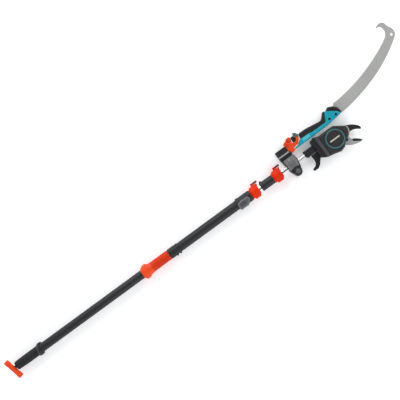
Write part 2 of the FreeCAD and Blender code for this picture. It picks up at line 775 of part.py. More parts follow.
def make_head_face():
    for label, inner, outer, proud in (
        ("teal_ring", "teal_in", "teal_out", "teal_proud"),
        ("disc_cover", None, "teal_in", "cover_proud"),
    ):
        body = new_body(label, "disc_x", "disc_side", "head_half - recess_deep")
        sketch = new_sketch(body)
        circle(sketch, outer)
        if inner:
            circle(sketch, inner)
        pad(body, sketch, "recess_deep + " + proud)
        soften(body, 0.8, at_height(size("recess_deep") + size(proud)))
    slab("edge_strip", [(1384.6, 1.0), (1368.0, -34.2, 1383.4, -15.4), (1371.0, -36.0),
                        (1387.8, -1.2, 1387.0, -16.0)], "core_half", "core_half + 5")


def make_hook_jaw():
    jaw = slab("hook_jaw",
               [(1395.0, -24.4, 1409.0, -28.8), (1374.2, -41.5, 1378.6, -29.2),
                (1362, -52.0, 1370.8, -49.2), (1351.5, -39.5, 1354.3, -48.6), (1356, -22),
                (1366.8, 6.2), (1381, 4.2), (1423.4, -24.6, 1407.0, -8.8),
                (1426.2, -33.6, 3.5), (1422.4, -38.4, 3)],
               "-free_gap - hook_thick", "-free_gap")
    hole(jaw, "pivot_rad", size("pivot_x"), size("pivot_side"))
    bolt = new_body("pivot_bolt", "pivot_x", "pivot_side", "-core_half")
    turned(bolt, [(0, 0), (4, 0), (4, 13), (5, 13), (5, 16.5, 1.2), (0, 16.5)])


def make_cutter():
    blade = slab("cutter_blade",
                 [(1348.0, -51.5, 2), (1403.5, -72.6, 1373.0, -66.8), (1407.6, -69.6, 1.0),
                  (1376.4, -45.0, 1395.4, -56.8), (1375.2, -41.5),
                  (1362, -29.0, 1371.8, -32.2), (1351.5, -39.5, 1354.2, -32.0)],
                 "0", "cutter_thick")
    hole(blade, "pivot_rad + fit_gap", size("pivot_x"), size("pivot_side"))


def make_head_screws():
    """Five screws that close the back of the head."""
    spots = ((1266, 20), (1266, -28), (1335, 19), (1316, -48), (1366, 4))
    screw_group("head_screws", spots, "head_screw_rad", "head_screw_deep", "-head_half")
    back = doc.getObject("head_back")
    seats = new_sketch(back)
    for x, y in spots:
        circle(seats, "head_screw_rad", x, y)
    pocket(back, seats, "head_screw_deep", reverse=True)


make_end_grip()
make_grip_ring()
make_tee()
make_outer_tube()
make_pull_grip()
make_end_collar()
make_mid_sleeve()
make_clamp_housing()
make_clamp(1, "clamp_one", "clamp_one_len", size("two_rad") + size("fit_gap"))
make_clamp(2, "clamp_two", "clamp_two_len", size("three_rad") + size("fit_gap"))
make_tube_two()
make_tube_three()
make_adapter()
make_knob()
make_coupling()
make_coupling_knob()
make_saw_handle()
make_saw_screws()
make_saw_blade()
make_neck()
make_head_shells()
make_head_core()
make_head_face()
make_hook_jaw()
make_cutter()
make_head_screws()
doc.recompute()

for item in doc.Objects:
    assert "Invalid" not in item.State and "Error" not in item.State, item.Label
for piece in pieces:
    assert not piece.Shape.isNull() and piece.Shape.isValid(), piece.Label

os.makedirs("parts", exist_ok=True)
for piece in pieces:
    piece.Shape.exportStep("parts/%s.step" % piece.Label)
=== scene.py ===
"""Looks of the telescoping pole saw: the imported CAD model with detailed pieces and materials."""
import json
import math

import bmesh
import bpy
import numpy as np
from mathutils import Matrix, Vector
from mathutils.geometry import delaunay_2d_cdt


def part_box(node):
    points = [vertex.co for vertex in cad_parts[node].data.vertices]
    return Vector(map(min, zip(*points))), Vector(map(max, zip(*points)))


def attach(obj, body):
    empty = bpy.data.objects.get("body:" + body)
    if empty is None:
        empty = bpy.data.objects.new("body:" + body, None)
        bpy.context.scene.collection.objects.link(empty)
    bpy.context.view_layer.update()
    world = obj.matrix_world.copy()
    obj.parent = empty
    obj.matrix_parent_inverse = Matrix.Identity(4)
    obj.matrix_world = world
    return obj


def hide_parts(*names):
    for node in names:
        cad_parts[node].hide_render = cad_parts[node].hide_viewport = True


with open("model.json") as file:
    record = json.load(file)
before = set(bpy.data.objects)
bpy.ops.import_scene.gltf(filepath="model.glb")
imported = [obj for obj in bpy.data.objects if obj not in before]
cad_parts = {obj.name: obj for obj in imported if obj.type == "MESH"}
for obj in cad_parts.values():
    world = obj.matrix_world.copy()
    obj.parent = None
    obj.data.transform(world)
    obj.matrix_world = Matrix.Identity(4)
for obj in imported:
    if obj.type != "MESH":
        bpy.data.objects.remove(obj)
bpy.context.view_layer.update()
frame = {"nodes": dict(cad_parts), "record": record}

nodes = frame["nodes"]
slot_of = {part["node"]: part["material_slot"] for part in frame["record"]["subparts"]}
body_of = {node: body for body, members in frame["record"]["behaviour"]["bodies"].items()
           for node in members}

# Outlines are written in millimetres from the foot end (x) and the pole axis (y, z).
HALF_LENGTH = 852.0
MIDDLE_SIDE = 68.85
AXIS_HEIGHT = 25.0
MM = 0.001


def spot(x, y, z=0.0):
    """A design position in millimetres as a point of the row frame in metres."""
    return Vector((x - HALF_LENGTH, y - MIDDLE_SIDE, z + AXIS_HEIGHT)) * MM


def reach(node):
    """Lowest and highest corner of a CAD node, back in design millimetres."""
    shift = Vector((HALF_LENGTH, MIDDLE_SIDE, -AXIS_HEIGHT))
    return [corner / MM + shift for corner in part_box(node)]


# ---------------------------------------------------------------- camera and light
POLE_RISE = math.radians(36.15)
VIEW_WIDTH = 1.332
LENS = 100.0
SENSOR = 36.0
AIM = Vector((-0.0025, 0.0177, AXIS_HEIGHT * MM))

camera_data = bpy.data.cameras.new("camera")
camera_data.lens = LENS
camera_data.sensor_width = SENSOR
camera_data.clip_end = 50
camera = bpy.data.objects.new("camera", camera_data)
camera.location = AIM + Vector((0, 0, VIEW_WIDTH * LENS / SENSOR))
camera.rotation_euler = (0, 0, -POLE_RISE)
bpy.context.scene.collection.objects.link(camera)
bpy.context.scene.camera = camera
bpy.context.scene.view_settings.view_transform = "Standard"


def area_light(name, place, size, power):
    data = bpy.data.lights.new(name, "AREA")
    data.shape = "DISK"
    data.size = size
    data.energy = power
    light = bpy.data.objects.new(name, data)
    light.location = place
    light.rotation_mode = "QUATERNION"
    light.rotation_quaternion = (AIM - Vector(place)).to_track_quat("-Z", "Y")
    bpy.context.scene.collection.objects.link(light)


area_light("saw_side_softbox", (0.1, 3.0, 1.9), 2.6, 66)
area_light("pole_side_softbox", (0.2, -2.8, 2.0), 2.6, 36)
area_light("tip_softbox", (3.0, 0.6, 1.8), 1.8, 22)


def studio_world(low, high):
    """A pale studio, brighter round the sides than overhead."""
    world = bpy.data.worlds.new("studio")
    world.use_nodes = True
    tree = world.node_tree
    place = tree.nodes.new("ShaderNodeTexCoord")
    split = tree.nodes.new("ShaderNodeSeparateXYZ")
    tree.links.new(place.outputs["Generated"], split.inputs["Vector"])
    fade = tree.nodes.new("ShaderNodeMapRange")
    fade.interpolation_type = "SMOOTHSTEP"
    fade.inputs["From Min"].default_value = 0.25
    fade.inputs["From Max"].default_value = 0.95
    fade.inputs["To Min"].default_value = high
    fade.inputs["To Max"].default_value = low
    tree.links.new(split.outputs["Z"], fade.inputs["Value"])
    sky = tree.nodes["Background"]
    sky.inputs["Color"].default_value = (0.95, 0.97, 1.0, 1)
    tree.links.new(fade.outputs["Result"], sky.inputs["Strength"])
    bpy.context.scene.world = world


studio_world(0.5, 1.08)


# ---------------------------------------------------------------- materials
def surface(name, colour, rough, metal=0.0, vary=0.12, grain=1500, bump=0.12, stretch=(1, 1, 1),
            wear=0.0, wear_colour=(0.6, 0.6, 0.6), rough_vary=0.12, fleck=0.0, turn=0.0,
            specular=0.5, mottle=0.18):
    """A procedural finish: broad colour drift (vary), fine grain in colour (mottle), gloss and
    height (bump), and optional flecks and worn edges. Grain is in lumps per metre; stretch
    squeezes it along an axis, after a turn about Z."""
    material = bpy.data.materials.new(name)
    material.use_nodes = True
    tree = material.node_tree
    shader = tree.nodes["Principled BSDF"]
    shader.inputs["Metallic"].default_value = metal
    shader.inputs["Specular IOR Level"].default_value = specular
    place = tree.nodes.new("ShaderNodeTexCoord")
    squeeze = tree.nodes.new("ShaderNodeMapping")
    squeeze.inputs["Scale"].default_value = stretch
    squeeze.inputs["Rotation"].default_value = (0, 0, turn)
    tree.links.new(place.outputs["Object"], squeeze.inputs["Vector"])

    def noise(scale, detail, source):
        texture = tree.nodes.new("ShaderNodeTexNoise")
        texture.inputs["Scale"].default_value = scale
        texture.inputs["Detail"].default_value = detail
        tree.links.new(source, texture.inputs["Vector"])
        return texture.outputs["Fac"]

    def ramp(source, low, high, spread=(0.3, 0.7)):
        stops = tree.nodes.new("ShaderNodeValToRGB")
        stops.color_ramp.elements[0].position = spread[0]
        stops.color_ramp.elements[1].position = spread[1]
        stops.color_ramp.elements[0].color = (*low, 1)
        stops.color_ramp.elements[1].color = (*high, 1)
        tree.links.new(source, stops.inputs["Fac"])
        return stops.outputs["Color"]

    def mix(kind, factor, first, second):
        node = tree.nodes.new("ShaderNodeMix")
        node.data_type = "RGBA"
        node.blend_type = kind
        if isinstance(factor, float):
            node.inputs["Factor"].default_value = factor
        else:
            tree.links.new(factor, node.inputs["Factor"])
        tree.links.new(first, node.inputs["A"])
        if isinstance(second, tuple):
            node.inputs["B"].default_value = (*second, 1)
        else:
            tree.links.new(second, node.inputs["B"])
        return node.outputs["Result"]

    broad = noise(14.0, 3, place.outputs["Object"])
    fine = noise(grain, 4, squeeze.outputs["Vector"])
    dark = tuple(c * (1 - vary) for c in colour)
    light = tuple(min(1.0, c * (1 + vary)) for c in colour)
    tint = ramp(broad, dark, light)
    tint = mix("MULTIPLY", 0.6, tint, ramp(fine, (1 - mottle,) * 3, (1, 1, 1)))
    if fleck:
        dots = ramp(noise(grain * 0.35, 2, squeeze.outputs["Vector"]), (0, 0, 0), (1, 1, 1),
                    (0.66, 0.74))
        fade = tree.nodes.new("ShaderNodeMath")
        fade.operation = "MULTIPLY"
        fade.inputs[1].default_value = fleck
        tree.links.new(dots, fade.inputs[0])
        tint = mix("MIX", fade.outputs[0], tint, wear_colour)
    if wear:
        geometry = tree.nodes.new("ShaderNodeNewGeometry")
        edge = ramp(geometry.outputs["Pointiness"], (0, 0, 0), (wear, wear, wear), (0.53, 0.62))
        patchy = ramp(noise(160.0, 3, place.outputs["Object"]), (0.2, 0.2, 0.2), (1, 1, 1))
        tint = mix("MIX", mix("MULTIPLY", 1.0, edge, patchy), tint, wear_colour)
    tree.links.new(tint, shader.inputs["Base Color"])
    gloss = tree.nodes.new("ShaderNodeMapRange")
    gloss.inputs["To Min"].default_value = max(0.02, rough - rough_vary)
    gloss.inputs["To Max"].default_value = min(1.0, rough + rough_vary)
    tree.links.new(fine, gloss.inputs["Value"])
    tree.links.new(gloss.outputs["Result"], shader.inputs["Roughness"])
    relief = tree.nodes.new("ShaderNodeBump")
    relief.inputs["Strength"].default_value = bump
    relief.inputs["Distance"].default_value = 0.0004
    tree.links.new(fine, relief.inputs["Height"])
    tree.links.new(relief.outputs["Normal"], shader.inputs["Normal"])
    return material


ALONG = (0.03, 1, 1)
MATERIALS = {
    "black_rubber": surface("soft_black_rubber", (0.011, 0.011, 0.012), 0.66, bump=0.5,
                            grain=1400, vary=0.2, specular=0.3),
    "anthracite_paint": surface("anthracite_paint", (0.011, 0.0115, 0.0125), 0.34, grain=1800,
                                bump=0.1, wear=0.3, fleck=0.12, specular=0.22,
                                wear_colour=(0.06, 0.062, 0.065)),
    "dark_plastic": surface("moulded_dark_plastic", (0.014, 0.0152, 0.016), 0.46, bump=0.3,
                            wear=0.35, wear_colour=(0.08, 0.08, 0.085), specular=0.28),
    "black_plastic": surface("moulded_black_plastic", (0.008, 0.008, 0.009), 0.42, bump=0.25,
                             wear=0.3, wear_colour=(0.06, 0.06, 0.065), specular=0.35),
    "light_grey_plastic": surface("light_grey_plastic", (0.27, 0.275, 0.28), 0.5, bump=0.2,
                                  wear=0.2, wear_colour=(0.5, 0.5, 0.5)),
    "grey_plastic": surface("grey_plastic", (0.075, 0.078, 0.08), 0.5, bump=0.3,
                            wear=0.35, wear_colour=(0.2, 0.2, 0.21), specular=0.4),
    "orange_plastic": surface("orange_plastic", (0.71, 0.06, 0.007), 0.42, grain=1300,
                              bump=0.14, wear=0.2, wear_colour=(0.85, 0.15, 0.05),
                              specular=0.2),
    "dark_red_plastic": surface("dark_red_plastic", (0.1, 0.006, 0.005), 0.4, grain=1300,
                                bump=0.14, wear=0.3, wear_colour=(0.35, 0.06, 0.04)),
    "teal_plastic": surface("teal_plastic", (0.002, 0.31, 0.4), 0.36, grain=1300, bump=0.14,
                            wear=0.25, wear_colour=(0.06, 0.45, 0.52), specular=0.35),
    "green_grey_plastic": surface("green_grey_plastic", (0.065, 0.125, 0.1), 0.5, bump=0.25,
                                  wear=0.3, wear_colour=(0.2, 0.25, 0.23)),
    "natural_aluminium": surface("drawn_aluminium", (0.83, 0.83, 0.84), 0.34, metal=1.0,
                                 grain=2600, bump=0.16, stretch=ALONG, vary=0.06),
    "steel": surface("ground_steel", (0.4, 0.4, 0.385), 0.42, metal=0.35, grain=2600, bump=0.3,
                     stretch=(0.05, 1, 1), turn=0.7, vary=0.05, rough_vary=0.08),
    "dark_steel": surface("blackened_steel", (0.012, 0.016, 0.045), 0.35, metal=0.2, grain=2000,
                          bump=0.15, wear=0.5, wear_colour=(0.3, 0.3, 0.34)),
    "cream_plastic": surface("cream_plastic", (0.46, 0.45, 0.37), 0.45, bump=0.2,
                             wear=0.2, wear_colour=(0.7, 0.68, 0.6)),
    "webbing": surface("woven_webbing", (0.02, 0.02, 0.022), 0.85, grain=2600, bump=0.8,
                       stretch=(1, 0.3, 1), vary=0.25, specular=0.2),
}
NAVY_SCREW = surface("navy_screw_head", (0.004, 0.006, 0.02), 0.5, grain=2000, bump=0.15,
                     specular=0.2)
WARM_BLACK = surface("warm_black_plastic", (0.02, 0.017, 0.016), 0.42, bump=0.25,
                     wear=0.3, wear_colour=(0.1, 0.09, 0.085), specular=0.4)
SMOKED_TEAL = surface("smoked_teal_plastic", (0.03, 0.125, 0.135), 0.4, grain=1300, bump=0.14,
                      wear=0.3, wear_colour=(0.2, 0.4, 0.42), specular=0.4)
PALE_TEAL = surface("pale_teal_plastic", (0.06, 0.46, 0.54), 0.3, grain=1300, bump=0.1, vary=0.06)
# Painted shade: copies of the orange plastic, made deeper for the clamps and darker for the pull
# grip. The orange is the plastic's own colour; the extra depth is painted shade.
DEEP_SHADED_ORANGE = surface("deep_shaded_orange_plastic", (0.67, 0.026, 0.001), 0.42, grain=1300, bump=0.14,
                      wear=0.2, wear_colour=(0.8, 0.1, 0.03), specular=0.1)
SHADED_PULL_ORANGE = surface("shaded_grip_orange_plastic", (0.6, 0.032, 0.003), 0.46, grain=1300, bump=0.16,
                      wear=0.2, wear_colour=(0.8, 0.12, 0.04), specular=0.14)
# Painted highlight: grey plastic made lighter where light falls on the adapter's top panel and on
# the housing cover's rim. The grey itself is the plastic's own colour.
LIT_PANEL_GREY = surface("lit_panel_grey_plastic", (0.15, 0.151, 0.153), 0.5, bump=0.3,
                     wear=0.3, wear_colour=(0.3, 0.3, 0.31), specular=0.35)
# Painted highlight: a lighter grey for the side of the head's rounded drum that catches the light.
DRUM_HIGHLIGHT_GREY = surface("drum_highlight_grey_plastic", (0.045, 0.047, 0.05), 0.48, bump=0.3,
                    wear=0.35, wear_colour=(0.15, 0.15, 0.16), specular=0.4)
FLOOR = surface("studio_floor", (0.965, 0.965, 0.965), 0.85, vary=0.002, grain=400, bump=0.01,
                rough_vary=0.03, specular=0.05, mottle=0.004)
FLOOR_GLOW = 0.2
floor_shader = FLOOR.node_tree.nodes["Principled BSDF"]
floor_shader.inputs["Emission Color"].default_value = (1, 1, 1, 1)
floor_shader.inputs["Emission Strength"].default_value = FLOOR_GLOW

for label, item in nodes.items():
    item.data.materials.clear()
    item.data.materials.append(MATERIALS[slot_of[label]])


# ---------------------------------------------------------------- mesh tools
STRAIGHT = math.radians(89)
WIDEST_STEP = 0.2
SHORTEST_RUN = 1e-4
CORNER_STEP = 1.2
SHARP_EDGE = math.radians(38)
EDGE_TURNS = [math.radians(degrees) for degrees in (28, 46, 60, 75, 90)]


def circle_through(start, middle, end):
    """Centre x, centre y and radius of the circle through three points."""
    (ax, ay), (bx, by), (cx, cy) = start, middle, end
    twice = 2 * (ax * (by - cy) + bx * (cy - ay) + cx * (ay - by))
    squares = [ax * ax + ay * ay, bx * bx + by * by, cx * cx + cy * cy]
    ox = (squares[0] * (by - cy) + squares[1] * (cy - ay) + squares[2] * (ay - by)) / twice
    oy = (squares[0] * (cx - bx) + squares[1] * (ax - cx) + squares[2] * (bx - ax)) / twice
    return ox, oy, math.hypot(ax - ox, ay - oy)


def arc_between(start, middle, end, step):
    """Points after start, up to and with end, on the arc through three points."""
    ox, oy, radius = circle_through(start, middle, end)
    first, mid, last = (math.atan2(y - oy, x - ox) for x, y in (start, middle, end))
    sweep = (last - first) % math.tau
    if (mid - first) % math.tau > sweep:
        sweep -= math.tau
    count = max(2, math.ceil(max(abs(sweep) * radius / step, abs(sweep) / WIDEST_STEP)))
    return [(ox + radius * math.cos(first + sweep * i / count),
             oy + radius * math.sin(first + sweep * i / count)) for i in range(1, count + 1)]


def path(points, step=2.0):
    """A closed path through (x, y), (x, y, corner radius) or, for an arc from the point
    before, (x, y, x of its middle, y of its middle), with a point at least every step."""
    spots = [Vector(p[:2]) for p in points]
    arrive = list(spots)
    leave = list(spots)
    middles = {}
    for i, point in enumerate(points):
        if len(point) != 3:
            continue
        back = (spots[i - 1] - spots[i]).normalized()
        ahead = (spots[(i + 1) % len(points)] - spots[i]).normalized()
        half = back.angle(ahead) / 2
        if half > STRAIGHT:
            continue
        arrive[i] = spots[i] + back * point[2] / math.tan(half)
        leave[i] = spots[i] + ahead * point[2] / math.tan(half)
        middles[i] = spots[i] + (back + ahead).normalized() * (point[2] / math.sin(half) - point[2])
    loop = []
    for i, point in enumerate(points):
        start, end = leave[i - 1], arrive[i]
        if len(point) == 4:
            loop += arc_between(start, point[2:], end, step)
        elif (end - start).length > SHORTEST_RUN:
            count = math.ceil((end - start).length / step)
            loop += [tuple(start.lerp(end, k / count)) for k in range(1, count + 1)]
        if i in middles:
            loop += arc_between(arrive[i], middles[i], leave[i], min(step, CORNER_STEP))
    return np.array(loop)


def ring(x, y, radius, step=1.5):
    count = max(12, int(math.tau * radius / step))
    turn = np.linspace(0, math.tau, count, endpoint=False)
    return np.column_stack((x + radius * np.cos(turn), y + radius * np.sin(turn)))


def inside(where, loop):
    """Which points lie within a closed loop."""
    x, y = where[:, 0, None], where[:, 1, None]
    ax, ay = loop[:, 0], loop[:, 1]
    bx, by = np.roll(ax, -1), np.roll(ay, -1)
    rise = np.where(by == ay, 1e-12, by - ay)
    crosses = ((ay > y) != (by > y)) & (x < (bx - ax) * (y - ay) / rise + ax)
    return crosses.sum(1) % 2 == 1


def on_plate(where, outline, holes):
    """Which points lie inside the outline and outside its holes."""
    keep = inside(where, outline)
    for loop in holes:
        keep &= ~inside(where, loop)
    return keep


def depth(where, loops):
    """Distance from each point to the nearest loop."""
    best = np.full(len(where), 1e9)
    for loop in loops:
        along = np.roll(loop, -1, 0) - loop
        square = (along ** 2).sum(1) + 1e-12
        offset = where[:, None] - loop
        share = np.clip((offset * along).sum(2) / square, 0, 1)
        gap = offset - share[..., None] * along
        best = np.minimum(best, np.sqrt((gap ** 2).sum(2)).min(1))
    return best


def inward(loop, distance):
    """The loop's points moved to the side of the loop's inside."""
    ahead = np.roll(loop, -1, 0) - np.roll(loop, 1, 0)
    normal = np.column_stack((-ahead[:, 1], ahead[:, 0]))
    normal /= np.linalg.norm(normal, axis=1)[:, None] + 1e-12
    if not inside(loop[:1] + normal[:1] * 0.05, loop)[0]:
        normal = -normal
    return loop + normal * distance


def round_drop(distance, radius):
    """How far a rounded edge lies below the flat at this distance from the outline."""
    if radius <= 0:
        return np.zeros_like(distance)
    short = np.clip(radius - distance, 0, radius)
    return radius - np.sqrt(np.maximum(radius ** 2 - short ** 2, 0))


def settle(name, vertices, faces, body, finish, slot, stands_for=()):
    """Make the object from its points in metres, give it its finish, hang it on its body and hide
    the CAD nodes it stands for.
    """
    mesh = bpy.data.meshes.new(name)
    mesh.from_pydata(vertices, [], faces)
    shape = bmesh.new()
    shape.from_mesh(mesh)
    bmesh.ops.remove_doubles(shape, verts=shape.verts, dist=2e-6)
    bmesh.ops.recalc_face_normals(shape, faces=shape.faces)
    shape.to_mesh(mesh)
    shape.free()
    mesh.shade_smooth()
    mesh.set_sharp_from_angle(angle=SHARP_EDGE)
    mesh.materials.append(finish or MATERIALS[slot])
    item = bpy.data.objects.new(name, mesh)
    bpy.context.scene.collection.objects.link(item)
    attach(item, body)
    if stands_for:
        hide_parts(*stands_for)
    return item


def plate(name, points, low=None, high=None, node=None, body=None, slot=None, finish=None,
          top=1.5, under=1.0, holes=(), step=2.5, relief=None, sink=None, fine=0.0, warp=spot,
          stands_for=None, guides=()):
    """A moulded piece over a closed outline, with rounded upper and lower edges. relief and
    sink add to the upper and lower height from (x, y, distance to the edge); guides are loops
    of extra points that a crisp step in that height follows."""
    if node:
        body = body or body_of[node]
        slot = slot or slot_of[node]
        stands_for = (node,) if stands_for is None else stands_for
        low = reach(node)[0].z if low is None else low
        high = reach(node)[1].z if high is None else high
    outline = points if isinstance(points, np.ndarray) else path(points, step)
    loops = [outline] + list(holes)
    cloud = [np.vstack(loops)]
    edge = max(top, under)
    levels = [edge * (1 - math.cos(turn)) for turn in EDGE_TURNS]
    for loop, sign in zip(loops, [1] + [-1] * len(holes)):
        for level in levels if edge > 0 else ():
            shifted = inward(loop, sign * level)
            cloud.append(shifted[depth(shifted, loops) > level * 0.97])
    if fine:
        spans = [np.arange(a + fine / 2, b, fine) for a, b in zip(outline.min(0), outline.max(0))]
        grid = np.stack(np.meshgrid(*spans), -1).reshape(-1, 2)
        grid = grid[depth(grid, loops) > edge + fine * 0.4]
        if guides:
            grid = grid[depth(grid, guides) > fine * 0.5]
            marks = np.vstack(guides)
            cloud.append(marks[depth(marks, loops) > edge * 0.5])
        cloud.append(grid)
    where = np.vstack(cloud)
    keep = on_plate(where, outline, holes)
    keep[:len(cloud[0])] = True
    where = where[keep]
    links = []
    first = 0
    for loop in loops:
        links += [(first + i, first + (i + 1) % len(loop)) for i in range(len(loop))]
        first += len(loop)
    flat, _, faces, origins, _, _ = delaunay_2d_cdt(
        [Vector(p) for p in where.tolist()], links, [], 0, 1e-4)
    flat = np.array([tuple(p) for p in flat])
    faces = np.array([f for f in faces if len(f) == 3])
    faces = faces[on_plate(flat[faces].mean(1), outline, holes)]
    away = depth(flat, loops)
    upper = high - round_drop(away, top)
    lower = low + round_drop(away, under)
    if relief:
        upper = upper + relief(flat[:, 0], flat[:, 1], away)
    if sink:
        lower = lower + sink(flat[:, 0], flat[:, 1], away)
    new_of = {old: new for new, olds in enumerate(origins) for old in olds}
    count = len(flat)
    vertices = [warp(x, y, z) for (x, y), z in zip(flat, upper)]
    vertices += [warp(x, y, z) for (x, y), z in zip(flat, lower)]
    solid = [tuple(f) for f in faces.tolist()]
    solid += [(c + count, b + count, a + count) for a, b, c in faces.tolist()]
    for a, b in links:
        a, b = new_of[a], new_of[b]
        if a != b:
            solid.append((a, b, b + count, a + count))
    used = sorted({i for f in solid for i in f})
    number = {old: new for new, old in enumerate(used)}
    return settle(name, [vertices[i] for i in used], [tuple(number[i] for i in f) for f in solid],
                  body, finish, slot, stands_for or ())


def lathe(name, profile, centre, axis="X", node=None, body=None, slot=None, finish=None,
          steps=72, step=3.0, bend=None, stands_for=None):
    """Revolve a closed outline of (radius, height) about a line through centre. bend changes
    (radius, height, angle) point by point; about the pole, angle 0 is the saw side and a
    quarter turn is up."""
    if node:
        body = body or body_of[node]
        slot = slot or slot_of[node]
        stands_for = (node,) if stands_for is None else stands_for
    loop = path(profile, step)
    turn = axis if isinstance(axis, Matrix) else {
        "X": Matrix(((0, 0, 1), (1, 0, 0), (0, 1, 0))),
        "Z": Matrix.Identity(3),
    }[axis]
    origin = Vector(centre)
    vertices = []
    for k in range(steps):
        angle = math.tau * k / steps
        for radius, height in loop:
            if bend:
                radius, height = bend(radius, height, angle)
            local = Vector((radius * math.cos(angle), radius * math.sin(angle), height))
            vertices.append(spot(*(origin + turn @ local)))
    count = len(loop)
    faces = []
    for k in range(steps):
        after = (k + 1) % steps
        for i in range(count):
            j = (i + 1) % count
            if loop[i][0] > 1e-6 or loop[j][0] > 1e-6:
                faces.append((k * count + i, k * count + j, after * count + j, after * count + i))
    return settle(name, vertices, faces, body, finish, slot, stands_for or ())


def wave(x, pitch, tall):
    """Rounded ribs of one pitch and height."""
    return tall * (0.5 + 0.5 * np.cos(math.tau * np.asarray(x) / pitch))


def past(x, low, soft):
    """0 up to low, rising to 1 over a soft margin."""
    return np.clip((np.asarray(x, float) - low) / soft, 0, 1)


def within(x, low, high, soft):
    """1 between low and high, fading to 0 over a soft margin."""
    return past(x, low, soft) * np.clip((high - np.asarray(x, float)) / soft, 0, 1)


def mirrored(height):
    """The same relief for the opposite face."""
    return lambda x, y, away: -height(x, y, away)


def oblong(left, right, near, far, corner=0):
    """Outline of a rectangle, with rounded corners if a radius is given."""
    corners = [(left, near), (right, near), (right, far), (left, far)]
    return [(*point, corner) for point in corners] if corner else corners


# ---------------------------------------------------------------- foot of the pole
def make_foot():
    low, high = reach("end_grip")
    length = high.x - low.x
    radius = high.y
    ribbed = 3.4

    def ribs(r, h, angle):
        if r > radius - 1:
            r -= float(wave(h, ribbed, 0.55) * within(h, 20, length - 12, 4))
            r -= min(1.15, 2.2 * max(0.0, 1 - h / 50.0) ** 2)
        return r, h

    lathe("end_grip_rubber", [(0, 0), (radius, 0, 9), (radius, length, 1), (15.0, length)],
          (low.x, 0, 0), node="end_grip", bend=ribs, step=0.85)

    lean_side, lean_up = math.tan(math.radians(13)), -math.tan(math.radians(20))

    def slant(r, h, angle):
        return r, h + r * (lean_side * math.cos(angle) + lean_up * math.sin(angle))

    lathe("grip_ring_moulded", [(16.2, -6), (18.4, -6, 1), (21, -3.6, 2), (21, 3.6, 2),
                                (18.4, 6, 1), (16.2, 6)], (128.5, 0, 0), node="grip_ring",
          bend=slant, step=1.0, finish=MATERIALS["dark_plastic"])
    lathe("grip_ring_lip", [(20.6, -1.1), (21.4, -0.7, 0.3), (21.4, 0.7, 0.3), (20.6, 1.1)],
          (128.5, 0, 0), body="pole", slot="grey_plastic", bend=slant, step=1.0)


def make_tee():
    lean = math.radians(12.6)
    across = Matrix(((math.cos(lean), 0, -math.sin(lean)), (math.sin(lean), 0, math.cos(lean)),
                     (0, -1, 0)))
    half = 36.0
    middle = (16.5, -2, 0)
    lathe("tee_bar_moulded", [
        (0, -half), (9.5, -half, 3.4), (9.5, -26, 6), (8.5, -16, 6), (8.5, 16, 6), (9.5, 26, 6),
        (9.5, half, 2.6), (6.6, half, 0.6), (6.0, half - 1.6), (0, half - 1.6)], middle, across,
        node="tee_bar", step=1.5)
    for side in (-1, 1):
        for place in (21.0, 24.0, 27.0):
            lathe("tee_rib_%s%d" % ("lower" if side < 0 else "upper", place),
                  [(8.0, place * side - 0.7), (9.65, place * side - 0.5, 0.4),
                   (9.65, place * side + 0.5, 0.4), (8.0, place * side + 0.7)], middle, across,
                  body="tee", slot="orange_plastic", step=1.0)


# ---------------------------------------------------------------- pull grip and middle
def make_pull_grip():
    start, end = 552.0, 660.0
    long = end - start

    def flutes(r, h, angle):
        if r > 17:
            ridge = 0.5 + 0.5 * math.cos(angle * 18)
            r -= 0.55 * ridge * float(within(h, 46, long - 10, 6))
        return r, h

    # The sleeve takes the darker orange copy: painted shade.
    lathe("pull_sleeve_moulded", [(15.3, 0), (17.5, 0), (17.5, long, 2.2), (15.3, long)],
          (start, 0, 0), node="pull_sleeve", bend=flutes, step=1.6, steps=108,
          finish=SHADED_PULL_ORANGE)

    def slant(r, h, angle):
        share = min(1.0, max(0.0, (r - 15.3) / 9.0))
        tilt = 0.12 * math.cos(angle) - 0.24 * math.sin(angle)
        return r, h + r * tilt * share

    lathe("pull_flare_moulded", [(15.3, 0), (17.4, 0, 1.0), (19.6, 4, 3), (24.9, 11.5, 3.2),
                                 (24.6, 19, 4), (19.4, 28, 8), (17.3, 42)],
          (start - 1.5, 0, 0), node="pull_collar", bend=slant, step=1.0)
    for place in (610.0, 618.0, 626.0, 634.0):
        lathe("pull_bead_%d" % place, [(17.0, -1.1), (18.0, -0.7, 0.6), (18.0, 0.7, 0.6),
                                       (17.0, 1.1)], (place, 0, 0), body="pull",
              slot="orange_plastic", step=1.0, finish=SHADED_PULL_ORANGE)


def make_middle():
    low, high = reach("end_collar")
    long = high.x - low.x

    def flats(r, h, angle):
        if r > 17.5:
            r -= 0.7 * max(0.0, math.sin(angle)) ** 24
        return r, h

    lathe("end_collar_moulded", [
        (15.0, 0), (18.0, 0, 2.4), (18.0, 14), (17.2, 14.6), (17.2, 16.2), (18.0, 16.8),
        (18.0, 27.5, 0.8), (16.6, 29, 0.6), (16.6, 32, 0.6), (18.0, 33, 0.8),
        (18.0, long, 2.2), (15.0, long)], (low.x, 0, 0), node="end_collar", bend=flats, step=1.0)
    for start in (20.0, 33.0):
        plate("end_collar_tab_%d" % start, [
            (low.x + start, -20.6, 1.2), (low.x + start + 5, -20.6, 1.2),
            (low.x + start + 5, -15.5), (low.x + start, -15.5)], -4.5, 4.5, body="pole",
            slot=slot_of["end_collar"], top=1.2, under=1.2)

    sleeve_low, sleeve_high = reach("mid_sleeve")
    radius = sleeve_high.y
    length = sleeve_high.x - sleeve_low.x

    def soft(r, h, angle):
        if r > radius - 0.8:
            r -= float(wave(h, 2.4, 0.22) * within(h, 14, length - 14, 3))
            r -= 0.9 * float(within(h, 5, 9, 1) + within(h, length - 9, length - 5, 1))
        return r, h

    lathe("mid_sleeve_foam", [(15.0, 0), (radius, 0, 1.2), (radius, length, 1.2),
                              (15.0, length)], (sleeve_low.x, 0, 0), node="mid_sleeve",
          bend=soft, step=0.8, steps=48)


